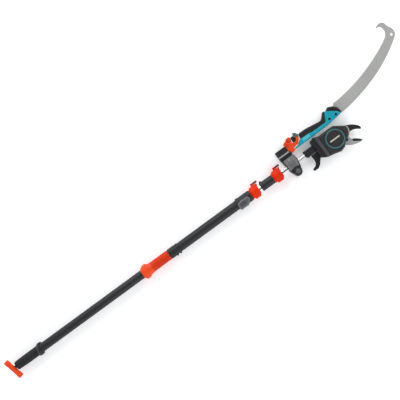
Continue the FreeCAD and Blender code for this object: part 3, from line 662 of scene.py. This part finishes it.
def make_clamp_housing():
    low, high = reach("clamp_housing")
    long = high.x - low.x
    lathe("clamp_housing_moulded", [
        (15.0, 0), (17.0, 0, 0.8), (17.0, 4), (20.4, 5.4, 1.2), (20.6, 12.5, 1.6), (19, 15, 1.5),
        (19, 44), (18.3, 44.6), (18.3, 46), (19, 46.6), (19, long, 2.4), (15.0, long)],
        (low.x, 0, 0), node="clamp_housing", step=1.2)
    cover = [(940.5, -22.9, 5), (973, -22.9, 7), (986, -6, 6), (984, 4, 5), (957, 5.5, 9),
             (940.5, 1.5, 5)]

    def hump(x, y, away):
        fall = np.maximum(0, np.abs(y + 4) - 6)
        return -0.045 * fall ** 2

    # The rim's lighter grey is painted highlight.
    plate("housing_cover_rim", cover, 5, 22.3, node="housing_cover", slot="grey_plastic",
          top=2.6, under=0.6, fine=2.0, relief=hump, finish=LIT_PANEL_GREY)
    inner = inward(path(cover, 1.5), 3.2)
    plate("housing_cover_pocket", inner, 15, 22.8, body="pole", slot="black_plastic", top=0.8,
          under=0.3, fine=2.0, relief=hump, finish=MATERIALS["grey_plastic"])
    for place in (950.0, 957.0, 964.0):
        plate("housing_cover_rib_%d" % place, oblong(place, place + 2.4, -16, -1, 0.8), 15, 23.4,
              body="pole", slot="dark_plastic", top=0.7, under=0.3, fine=1.5, relief=hump)


# ---------------------------------------------------------------- clamps
LEVER_MID = 19.4


def around_pole(x, s, radius):
    """Bend a flat layout (x along the pole, s round it) to a cylinder about the pole."""
    angle = s / LEVER_MID
    return spot(x, radius * math.cos(angle), radius * math.sin(angle))


def make_clamp(number):
    collar = "clamp%d_collar" % number
    pin = "clamp%d_pin" % number
    lever = "clamp%d_lever" % number
    start = reach(collar)[0].x
    long = reach(lever)[1].x - start + 3.5
    bore = 10.3 if number == 1 else 8.3
    # The clamp takes the deeper orange copy: painted shade.
    lathe("clamp%d_ring" % number, [
        (bore, 0), (17.5, 0, 1.0), (17.5, 3.6), (16.6, 4.2), (16.6, long - 5.5), (17.5, long - 5),
        (15.2, long - 0.6, 2), (bore + 2, long, 0.8), (bore, long)], (start, 0, 0), node=collar,
        step=1.5, finish=DEEP_SHADED_ORANGE)
    side = 27.0
    plate("clamp%d_bridge" % number, [
        (start + 4, 12), (start + 33, 12), (start + 39.3, 21.4, 2.5), (start + 24.3, 22.6),
        (start + 18.9, 22.2), (start + 15.5, 22.2, 2), (start + 4, 21.4, 3)], -6.5, 6.5,
        body=body_of[collar], slot=slot_of[collar], top=2.8, under=2.8, fine=1.6,
        finish=DEEP_SHADED_ORANGE)
    for tag, first, last in (("near", 15.4, 18.9), ("far", 24.3, 27.4)):
        plate("clamp%d_ear_%s" % (number, tag), [
            (start + first, 19), (start + last, 19), (start + last, 30.8, 1.2),
            (start + first + 1, 30.8, 1.2)], -6.3, 6.3, body=body_of[collar],
            slot=slot_of[collar], top=2.4, under=2.4, finish=DEEP_SHADED_ORANGE)
    lathe("clamp%d_pin_head" % number, [
        (0, 17.6), (2.5, 17.6), (2.5, 27.5), (3.2, 27.7, 0.3), (3.9, 28.6, 0.6), (3.5, 30.6),
        (3.5, 32), (3.9, 34), (3.8, 41.4, 1.2), (1.6, 42, 0.3), (1.4, 41), (0, 41)],
        (start, side, 0), node=pin, steps=36, step=1.0)
    first, bend_at, last = (math.radians(a) * LEVER_MID for a in (14, 128, 171))
    near, far = start + 4.6, start + long - 3.7

    def grip_pad(x, s, away):
        swell = 2.3 * within(s, bend_at, last + 3, 5)
        ridges = wave(s, 2.6, 0.5) * within(s, bend_at + 4, last - 1.5, 1.5) * within(
            x, near + 4, far - 4, 1.5)
        window = -1.0 * within(s, first + 12, bend_at - 9, 0.8) * within(
            x, near + 7, far - 7, 0.8)
        return swell - ridges + window

    plate("clamp%d_lever_moulded" % number, [
        (near, first, 3), (near, bend_at - 4, 10), (near + 2.5, last, 5), (far - 2.5, last, 5),
        (far, bend_at - 4, 10), (far, first, 3)], 17.8, 21.0, node=lever, top=1.3, under=0.4,
        fine=0.8, relief=grip_pad, warp=around_pole, step=1.2, finish=DEEP_SHADED_ORANGE)
    lathe("clamp%d_knuckle" % number, [
        (2.55, 19.5), (4.4, 19.5, 0.6), (4.4, 23.7, 0.6), (2.55, 23.7)], (start, side, 0),
        body=body_of[lever], slot=slot_of[lever], steps=36, step=1.0, finish=DEEP_SHADED_ORANGE)


def make_stage_two():
    low, high = reach("sleeve_two")
    long = high.x - low.x
    lathe("sleeve_two_moulded", [
        (10.0, 0), (12.5, 0), (15.6, 1.8, 1), (15.6, 8), (14.8, 8.6), (14.8, 10.2),
        (15.6, 10.8), (15.6, long - 5), (14.9, long - 4.4), (14.9, long - 2.8),
        (15.6, long - 2.2), (15.6, long), (10.0, long)], (low.x, 0, 0), node="sleeve_two",
        step=1.2)
    plate("sleeve_two_catch", [(low.x + 3.5, 12), (low.x + 3.5, 19.4, 2), (low.x + 10.5, 19.4, 2),
                               (low.x + 13, 12)], -4, 4, body="stage2",
          slot=slot_of["sleeve_two"], top=1.4, under=1.4)


STRIP_DEEP = 1.2
STRIP_PROUD = 0.22


def make_painted_shade_strips():
    """Painted shade: dark strips along the inner tubes where the edges of the shiny tubes look
    dark, curved to each tube's round.
    """
    for name, side, wide, radius, body, start, end in (
        ("painted_shade_strip_two", -3.2, 3.4, 10.0, "stage2", 470.0, 1060.0),
        ("painted_shade_strip_three", -3.0, 3.2, 8.0, "stage3", 580.0, 1150.0),
        ("painted_shade_strip_rod", -3.5, 2.0, 6.5, "stage3", 1187.0, 1223.0),
        ("painted_shade_strip_rod_upper", 5.2, 1.4, 6.5, "stage3", 1187.0, 1223.0),
    ):
        def curved(x, y, away, radius=radius):
            return np.sqrt(radius ** 2 - y ** 2) - radius

        plate(name, oblong(start, end, side - wide / 2, side + wide / 2), radius - STRIP_DEEP,
              radius + STRIP_PROUD, body=body, slot="black_plastic", top=0.1, under=0.0,
              step=0.8 if end - start < 100 else 6.0, relief=curved, sink=curved)


make_foot()
make_tee()
make_pull_grip()
make_middle()
make_clamp_housing()
make_clamp(1)
make_clamp(2)
make_stage_two()
# Painted shade: dark strips on the shiny inner tubes.
make_painted_shade_strips()


# ---------------------------------------------------------------- saw adapter
def make_adapter():
    top = reach("adapter_body")[1].z
    start, end = 1141.5, 1191.0
    body = [(start + 1.5, 28.0, 3), (end - 3, 28.0, 7), (end + 0.5, 6, 20), (end - 4.5, -19, 20),
            (end - 15, -43.5, 9), (end - 32, -43.5, 9), (start + 7, -19, 20)]

    def waist(x, y, away):
        return -0.7 * within(away, 3.4, 4.6, 0.5)

    plate("adapter_body_moulded", body, node="adapter_body", top=4.0, under=4.0, fine=1.3,
          relief=waist, finish=MATERIALS["black_plastic"])
    # The panel's lighter grey is painted highlight on the adapter's rounded top.
    panel = [(start + 7.6, -14, 4), (start + 5.2, 27.4, 5), (end - 5, 27.4, 7),
             (end - 2.4, 5, 14), (end - 7.4, -14, 4), (1178.5, -14), (1158, -14, 1168.3, -11.4)]
    plate("adapter_panel", panel, top - 1.5, top + 0.8, body="stage3",
          slot=slot_of["adapter_body"], finish=LIT_PANEL_GREY, top=1.6, under=0.2)
    for place in (1157.0, 1163.5, 1170.0, 1176.5):
        plate("adapter_rib_%d" % place, oblong(place - 1.1, place + 1.1, -4, 11, 1), top,
              top + 1.5, body="stage3", slot="grey_plastic", top=0.8, under=0.1)
    band = [(start, 28.4), (end - 3.5, 28.4), (end - 6.7, 39.4), (start, 39.4)]
    plate("adapter_band_moulded", band, node="adapter_band", top=1.4, under=1.4)
    bar = oblong(start + 0.6, end - 9.6, 39.6, 45.0, 0.8)

    def crown(x, y, away):
        return -0.16 * (y - 42.3) ** 2 + 0.5

    plate("adapter_bar_moulded", bar, node="adapter_bar", top=0.8, under=0.8, fine=1.2,
          relief=crown)
    socket = [(start, 45.2, 1), (end - 10, 45.2, 1), (end - 10, 64.6, 3.5), (start, 64.6, 4.5)]

    def slots(x, y, away):
        return -0.8 * past(away, 3.0, 0.6) * (wave(y, 5.2, 1.0) > 0.5)

    plate("adapter_block_moulded", socket, node="adapter_block", top=3.0, under=3.0, fine=0.9,
          relief=slots)
    lathe("adapter_screw_head", [(0, 0), (2.6, 0), (2.6, 1.9, 0.6), (1.4, 2.3), (1.2, 1.2),
                                 (0, 1.2)], (1165.5, 19.3, top - 0.2), "Z",
          node="adapter_screw", steps=24, step=0.6)


def scallops(centre, radius, count, deep, step=0.8):
    """A round outline with a shallow hollow between each two lobes."""
    angles = np.linspace(0, math.tau, int(math.tau * radius / step), endpoint=False)
    reachable = radius - deep * (0.5 - 0.5 * np.cos(angles * count)) ** 2
    return np.column_stack((centre[0] + reachable * np.cos(angles),
                            centre[1] + reachable * np.sin(angles)))


def make_knob():
    low, high = reach("adapter_knob")
    centre = ((low.x + high.x) / 2, (low.y + high.y) / 2)

    def dished(x, y, away):
        return -1.9 * past(away, 4.4, 0.7)

    plate("adapter_knob_moulded", scallops(centre, 14.6, 8, 1.7), node="adapter_knob", top=2.6,
          under=1.0, fine=0.8, relief=dished)
    lathe("knob_insert_domed", [(0, 0), (9.3, 0), (9.3, 1.6, 0.6), (7.6, 2.1), (7.3, 1.7),
                                (6.4, 1.9), (4.5, 2.7), (0, 3.1)],
          (centre[0], centre[1], high.z - 2.0), "Z", node="knob_insert", steps=64, step=1.0)


# ---------------------------------------------------------------- saw coupling
def make_coupling():
    body = [(1181.5, 72, 3.5), (1181.5, 46), (1188.5, 32.3, 2.5), (1202, 32.3, 2.5),
            (1203.5, 43), (1216, 45, 4), (1222, 45), (1237.6, 61), (1231.5, 68.5, 2),
            (1220, 56.5, 2), (1209, 56.5, 3), (1209, 64.6), (1196.2, 64.6), (1196.2, 78.5, 1.5)]

    def stepped(x, y, away):
        saddle = -1.2 * within(x, 1200, 1240, 3)
        groove = -1.0 * within(y, 54.2, 56.6, 0.5) * within(x, 1184, 1200, 0.8)
        return saddle + groove

    plate("coupling_body_moulded", body, node="coupling_body", top=2.2, under=2.0, fine=1.1,
          relief=stepped)
    bore = (1188.6, 65.5)
    lathe("coupling_boss", [(0, 0), (5.2, 0), (5.2, 2.6, 0.8), (3.4, 2.6, 0.3), (3.0, 0.8),
                            (0, 0.8)], (bore[0], bore[1], 15.6), "Z", body="saw",
          slot="orange_plastic", steps=40, step=0.8)
    core = [(1213.6, 56.8), (1219.6, 56.8), (1230, 67.6), (1225, 72), (1224, 77, 2),
            (1213.6, 77, 1.5)]
    plate("coupling_core_moulded", core, node="coupling_core", top=1.2, under=1.2)
    tab = [(1226.2, 72.6), (1230.8, 68.8), (1237.2, 62.4), (1241.8, 71, 2), (1234, 82.5, 2),
           (1226.2, 85, 1.5)]

    def ridges(x, y, away):
        return 0.7 * past(away, 1.8, 0.8) * (wave(x + y, 3.6, 1.0) - 0.5)

    plate("lock_tab_moulded", tab, node="lock_tab", top=1.6, under=1.2, fine=0.7, relief=ridges)
    low, high = reach("coupling_knob")
    across = Matrix(((1, 0, 0), (0, 0, 1), (0, -1, 0)))
    middle = ((low.x + high.x) / 2, low.y, (low.z + high.z) / 2)
    tall = high.y - low.y

    def lobed(r, h, angle):
        if r > 6:
            r -= 1.0 * (0.5 - 0.5 * math.cos(angle * 6)) ** 2
        return r, h

    lathe("coupling_knob_moulded", [
        (0, 0), (6.4, 0, 0.6), (6.4, 1.6), (7.7, 2.4, 0.8), (7.7, tall - 3, 0.5),
        (7.7, tall, 2.4), (5.2, tall, 0.5), (4.7, tall - 1.2), (0, tall - 1.2)], middle, across,
        node="coupling_knob", bend=lobed, steps=72, step=1.2)


# ---------------------------------------------------------------- saw
TEAL_SHELL = [(1205, 35.2, 1.5), (1221, 34.8), (1345, 37), (1397.6, 43.2, 3), (1397.6, 47.5),
              (1391, 57.2, 4), (1363, 77), (1354, 81, 1.5), (1338, 50.4, 5), (1281, 50.8),
              (1271, 53.8), (1239.6, 54.6), (1222.4, 41.6), (1206, 38)]
SOFT_GRIP = [(1241, 52.4), (1271.2, 51.6), (1281.2, 48.8), (1339.4, 48.4, 5), (1355.4, 81, 1),
             (1349.5, 82), (1332, 63.6, 8), (1320, 64), (1271, 71.4), (1249, 72, 6), (1242.6, 69)]
GUARD = [(1358.6, 77.8), (1362.0, 75.0), (1390.0, 55.8), (1396.2, 46.8), (1401.6, 44.5),
         (1403, 57, 6), (1399, 68, 8), (1388, 79, 8), (1372.6, 86, 3)]
HANDLE_SCREWS = (1355.0, 1381.0)
SCREW_SIDE = 50.6


def make_saw_handle():
    def waist(x, y, away):
        seam = -0.9 * within(x, 1272.6, 1274.2, 0.4)
        belly = 0.9 * within(x, 1296, 1350, 20) * past(away, 2, 4)
        channel = -0.8 * within(away, 3.2, 4.4, 0.4) * within(x, 1278, 1392, 2)
        return seam + belly * 0.6 + channel

    plate("saw_handle_moulded", TEAL_SHELL, node="saw_handle", top=4.2, under=4.2, fine=1.2,
          relief=waist, sink=mirrored(waist))
    top = reach("saw_handle")[1].z
    label = [(1240, 41.5, 2), (1270.5, 40.5, 2), (1270.5, 50.5, 2), (1243.5, 51.5, 2)]
    for name, low, high in (("upper", top - 1, top + 0.5), ("lower", -top - 0.5, 1 - top)):
        plate("handle_plain_plate_" + name, label, low, high, body="saw", slot="teal_plastic",
              finish=PALE_TEAL, top=0.4 if low > 0 else 0.0, under=0.4 if low < 0 else 0.0)

    def ribs(x, y, away):
        hollow = past(away, 2.2, 1.0)
        return hollow * (0.35 - wave(x - 0.35 * y, 3.4, 0.9)) * within(x, 1250, 1330, 3)

    plate("saw_grip_soft", SOFT_GRIP, node="saw_grip", top=5.0, under=5.0, fine=0.85,
          relief=ribs, sink=mirrored(ribs))

    def shield(x, y, away):
        return 0.8 * past(away, 3.0, 1.0) - 0.8

    plate("saw_guard_moulded", GUARD, node="saw_guard", top=3.0, under=3.0, fine=1.2,
          relief=shield, finish=MATERIALS["black_plastic"])

    def socket(r, h, angle):
        if 0.5 < r < 2.6:
            r *= 1 - 0.1 * math.cos(angle * 6)
        return r, h

    for i, x in enumerate(HANDLE_SCREWS):
        for side, tag in ((1, "front"), (-1, "back")):
            lathe("saw_screw_%s_%d" % (tag, i + 1), [
                (0, -0.3), (2.0, -0.3), (2.2, 0.0), (2.9, 0.05), (4.3, -0.4, 0.5),
                (4.6, -1.8), (3.7, -1.9), (3.7, -4), (0, -4)],
                (x, SCREW_SIDE, side * (top + 0.9)), Matrix.Diagonal((1, side, side)),
                body="saw", slot=slot_of["saw_screws"], finish=NAVY_SCREW, steps=36, step=0.6,
                bend=socket, stands_for=("saw_screws",))


def make_saw_blade():
    """Curved blade; one tooth is ground to a bevel on the upper face, the next on the lower."""
    start, middle, end = (1404.5, 86.3), (1533.0, 107.8), (1655.0, 155.2)
    pitch, deep, bevel = 4.2, 2.6, 0.62
    ox, oy, radius = circle_through(start, middle, end)
    first, last = (math.atan2(y - oy, x - ox) for x, y in (start, end))
    count = int(abs(last - first) * radius / pitch)
    teeth = []
    for i in range(count):
        for share, sunk in ((0.0, 0.0), (0.12, 0.0), (0.5, deep), (0.56, deep), (0.9, 0.3)):
            angle = first + (last - first) * (i + share) / count
            teeth.append((ox + (radius + sunk) * math.cos(angle),
                          oy + (radius + sunk) * math.sin(angle)))
    outline = [(1372.0, 44.5), (1372.0, 78.0, 2.0), (1390.0, 76.5), (1399.5, 86.0)] + teeth + [
        end, (1676.7, 176.5, 1670.5, 165.6), (1673.0, 198.2, 1676.8, 188.0),
        (1658.6, 201.3, 1666.0, 201.4), (1659.0, 204.2, 1657.6, 202.9),
        (1678.0, 210.1, 1667.5, 208.9), (1692.3, 198.5, 1687.5, 206.0), (1696.2, 183.2),
        (1700.4, 150.2, 1704.0, 166.0), (1688.3, 139.5, 1695.2, 144.4),
        (1539.8, 69.3, 1616.7, 98.6), (1404.0, 43.6, 1472.0, 52.2)]

    def ground(x, y, parity):
        out = np.hypot(x - ox, y - oy) - radius
        share = (np.arctan2(y - oy, x - ox) - first) / (last - first) * count
        on_edge = (share > -0.3) & (share < count + 0.3)
        facet = np.clip(1 - out / (deep * 1.15), 0, 1)
        return np.where(on_edge & (np.floor(share) % 2 == parity), facet, 0) * bevel

    plate("saw_blade_ground", outline, node="saw_blade", top=0.12, under=0.12, step=2.0,
          holes=(ring(1689.4, 156.2, 4.3, 1.0),), fine=3.2,
          relief=lambda x, y, away: -ground(x, y, 0), sink=lambda x, y, away: ground(x, y, 1))


# ---------------------------------------------------------------- pruning head
DRUM_MIDDLE = (1330.2, -13.3)
HEAD_MAIN = [(1287.0, 25.6, 1), (1349, 25.8, 12), (1384, 2.0), (1367.2, -34.5, 1382.8, -15.6),
             (1365.6, -35.45), (1356.7, -40.6, 1359.3, -34.85), (1351, -44, 5), (1342.7, -54, 6),
             (1324, -60.2, 12), (1301, -53.6, 20), (1287.0, -50.8, 1)]
# The band is painted highlight: the lit side of the rounded drum, drawn as a lighter grey piece.
HEAD_HIGHLIGHT_BAND = [(1274.8, 28.6, 1.0), (1276.0, 32.4, 1.5), (1279, 28.8), (1284.5, 28.8, 1.5),
             (1287.1, 26.4, 0.8), (1287.1, -50.7, 0.8), (1276, -48.3, 2), (1274.8, -47.4, 0.6)]
HEAD_CHEEK = [(1257.2, 28.3, 7), (1270, 28.6), (1272, 32.4, 1.2), (1274.9, 32.4, 0.4),
              (1274.9, -47.2, 0.5), (1257.2, -36.6, 5)]


def barrel(x, y, away):
    """The drum end of the head: its faces fall away in a quarter turn toward the neck."""
    share = np.clip((1288.0 - x) / 34.0, 0, 1)
    return -11.5 * (1 - np.sqrt(1 - share ** 2))


def make_head_shells():
    low, high = reach("head_front")

    def dome(x, y, away):
        gap = np.hypot(x - DRUM_MIDDLE[0], y - DRUM_MIDDLE[1])
        bowl = -1.7 * past(36.3 - gap, 0, 0.9)
        slope = -0.9 * past(gap, 40, 14)
        return bowl + slope

    rims = [ring(*DRUM_MIDDLE, radius, 1.1) for radius in (34.2, 35.4, 36.3, 37.4)]

    def under_dome(x, y, away):
        gap = np.hypot(x - DRUM_MIDDLE[0], y - DRUM_MIDDLE[1])
        ring_groove = 0.9 * within(gap, 27, 28.4, 0.4) + 0.9 * within(gap, 20, 21.4, 0.4)
        return ring_groove + 0.8 * past(gap, 43, 12)

    rear_rims = [ring(*DRUM_MIDDLE, radius, 1.1)
                 for radius in (20.0, 20.4, 21.0, 21.4, 27.0, 27.4, 28.0, 28.4)]
    for shell, floor, roof in (("head_front", low.z, high.z),
                               ("head_back", -high.z, -low.z)):
        front = shell == "head_front"
        tag = "front" if front else "back"
        plate("head_%s_housing" % tag, HEAD_MAIN, floor, roof, node=shell, finish=WARM_BLACK,
              top=5.5 if front else 0.4, under=0.4 if front else 5.5, fine=1.1, step=1.8,
              relief=dome if front else None, sink=None if front else under_dome,
              guides=rims if front else rear_rims)
        # The band's lighter grey is painted highlight on the drum.
        for name, outline, finish in (("band", HEAD_HIGHLIGHT_BAND, DRUM_HIGHLIGHT_GREY),
                                      ("cheek", HEAD_CHEEK, MATERIALS["black_plastic"])):
            plate("head_%s_%s" % (tag, name), outline, floor, roof, body="head",
                  slot=slot_of[shell], finish=finish, top=1.6 if front else 0.4,
                  under=0.4 if front else 1.6, fine=1.5, step=1.8, stands_for=(shell,),
                  relief=barrel if front else None,
                  sink=None if front else mirrored(barrel))


def make_head_face():
    x, y = DRUM_MIDDLE
    top = reach("teal_ring")[1].z
    lathe("teal_ring_moulded", [(28.7, -2.6), (33.3, -2.6), (33.3, -0.8, 0.9), (32.2, 0, 0.8),
                                (30.0, 0, 0.8), (28.7, -0.9, 0.6)], (x, y, top), "Z",
          node="teal_ring", finish=SMOKED_TEAL, steps=128, step=0.8)
    lathe("disc_cover_domed", [
        (0, -3.2), (28.5, -3.2), (28.5, -1.6, 0.6), (26.5, -1.2), (26.1, -1.7), (25.3, -1.7),
        (24.9, -1.1), (19.5, -0.6), (19.1, -1.1), (18.5, -1.1), (18.1, -0.5), (10, -0.15),
        (0, 0)], (x, y, top), "Z", node="disc_cover", finish=WARM_BLACK, steps=96, step=1.2)
    badge = oblong(x - 20, x + 18, y - 2.4, y + 2.4, 2.2)
    plate("disc_plain_bar", badge, top - 1.2, top + 0.1, body="head", slot="cream_plastic",
          top=0.4, under=0.0)
    strip = [(1384.6, 1.0), (1368.0, -34.2, 1383.4, -15.4), (1371.0, -36.0),
             (1387.8, -1.2, 1387.0, -16.0)]
    low = reach("edge_strip")[0].z
    plate("edge_strip_moulded", strip, low, low + 8, node="edge_strip", top=1.1, under=0.4)


def make_neck():
    low, high = reach("neck")
    collar = [(1218, 13, 1.5), (1231.2, 13, 0.6), (1231.2, -12.8, 0.6), (1223, -12.8, 1),
              (1218, -7, 1)]

    def grooves(x, y, away):
        return -0.8 * past(away, 1.5, 0.6) * (wave(x - 1218, 4.2, 1.0) > 0.62)

    plate("neck_collar", collar, low.z, high.z, body="stage3", slot=slot_of["neck"], top=3.2,
          under=3.2, fine=0.9, relief=grooves, stands_for=("neck",))
    tongue = [(1230.5, 13, 0.5), (1262, 13), (1275, 12.4), (1287.4, 0, 1283.8, 8.8),
              (1275, -12.4, 1283.8, -8.8), (1262, -12.8), (1230.5, -12.8, 0.5)]

    def channel(x, y, away):
        return -0.8 * within(y, -4.2, 3.0, 0.8) * within(x, 1234, 1258, 0.8)

    plate("neck_tongue", tongue, -6.2, 6.2, body="stage3", slot=slot_of["neck"], top=0.9,
          under=0.9, fine=1.0, relief=channel, stands_for=("neck",))


def make_branch_hook():
    outline = [(1234.4, -12.8), (1235.4, -30), (1225.5, -49.3, 1233.0, -41.5),
               (1215.8, -52.2, 2), (1212.6, -57, 2), (1216, -61.2, 2), (1231, -61.2, 5),
               (1241, -55), (1256.6, -36.6), (1256.6, -12.8)]

    def web(x, y, away):
        hollow = -1.6 * past(away, 3.2, 0.8)
        ribs = 1.2 * (wave(y + 0.4 * x, 7.4, 1.0) > 0.72) * past(away, 3.2, 0.8)
        return (hollow + ribs) * within(y, -60, -15, 1.5)

    plate("branch_hook_moulded", outline, node="branch_hook", top=1.8, under=1.8, fine=0.9,
          relief=web, sink=mirrored(web))


JAW_PIVOT = (1362.0, -39.5)


def make_jaws():
    jaw = [(1395.0, -24.4, 1409.0, -28.8), (1374.2, -41.5, 1378.6, -29.2),
           (1362, -52.0, 1370.8, -49.2), (1351.5, -39.5, 1354.3, -48.6), (1356, -22),
           (1366.8, 6.2), (1381, 4.2), (1423.4, -24.6, 1407.0, -8.8), (1426.2, -33.6, 3.5),
           (1422.4, -38.4, 3)]

    def spine(x, y, away):
        return -0.9 * past(away, 3.4, 1.6) * within(x, 1384, 1424, 3)

    plate("hook_jaw_forged", jaw, node="hook_jaw", top=1.2, under=1.2, fine=0.9, relief=spine,
          finish=MATERIALS["black_plastic"])
    cutter = [(1348.0, -51.5, 2), (1403.5, -72.6, 1373.0, -66.8), (1407.6, -69.6, 1.0),
              (1376.4, -45.0, 1395.4, -56.8), (1375.2, -41.5), (1362, -29.0, 1371.8, -32.2),
              (1351.5, -39.5, 1354.2, -32.0)]
    heel, tip = Vector((1376.0, -52.0)), Vector((1407.0, -70.6))

    def honed(x, y, away):
        """The bevel along the cutting edge, on the side that meets the hook."""
        spine = heel.y + (x - heel.x) * (tip.y - heel.y) / (tip.x - heel.x)
        return -1.3 * np.clip(1 - away / 3.0, 0, 1) * (y > spine) * within(
            x, heel.x + 2, tip.x + 3, 2)

    hub = ring(*JAW_PIVOT, 4.1, 1.0)
    plate("cutter_blade_ground", cutter, node="cutter_blade", top=0.25, under=0.25, fine=1.0,
          holes=(hub,), relief=honed)
    top = reach("cutter_blade")[1].z
    coating = [(1376.6, -48.8, 1.5), (1383.3, -50.4, 4), (1396.0, -59.6, 12), (1404.8, -69.2, 1),
               (1398.5, -70.0, 2), (1389, -64.2, 8), (1377.6, -56.5, 2.5)]
    plate("cutter_coating", coating, top - 1.2, top + 0.12, body="cutter", slot="dark_steel",
          top=0.1, under=0.0, finish=MATERIALS["black_plastic"])
    bolt = reach("pivot_bolt")
    tall = bolt[1].z - bolt[0].z

    def hexed(r, h, angle):
        if r > 4.3 and h > tall - 3.6:
            r *= 0.93 / max(0.86, math.cos((angle + math.pi / 6) % (math.pi / 3) - math.pi / 6))
        return r, h

    lathe("pivot_bolt_head", [(0, 0), (4, 0), (4, 13), (5.0, 13), (5.0, tall - 0.4, 0.6),
                              (3.6, tall), (0, tall)], (*JAW_PIVOT, bolt[0].z), "Z",
          node="pivot_bolt", steps=48, step=0.8, bend=hexed)


make_adapter()
make_knob()
make_coupling()
make_saw_handle()
make_saw_blade()
make_head_shells()
make_head_face()
make_neck()
make_branch_hook()
make_jaws()


# ---------------------------------------------------------------- floor and finish
floor_mesh = bpy.data.meshes.new("floor")
floor_mesh.from_pydata([(x, y, 0) for x, y in oblong(-6, 6, -6, 6)], [], [(0, 1, 2, 3)])
floor = bpy.data.objects.new("floor", floor_mesh)
floor.location.z = -0.0004
floor_mesh.materials.append(FLOOR)
bpy.context.scene.collection.objects.link(floor)
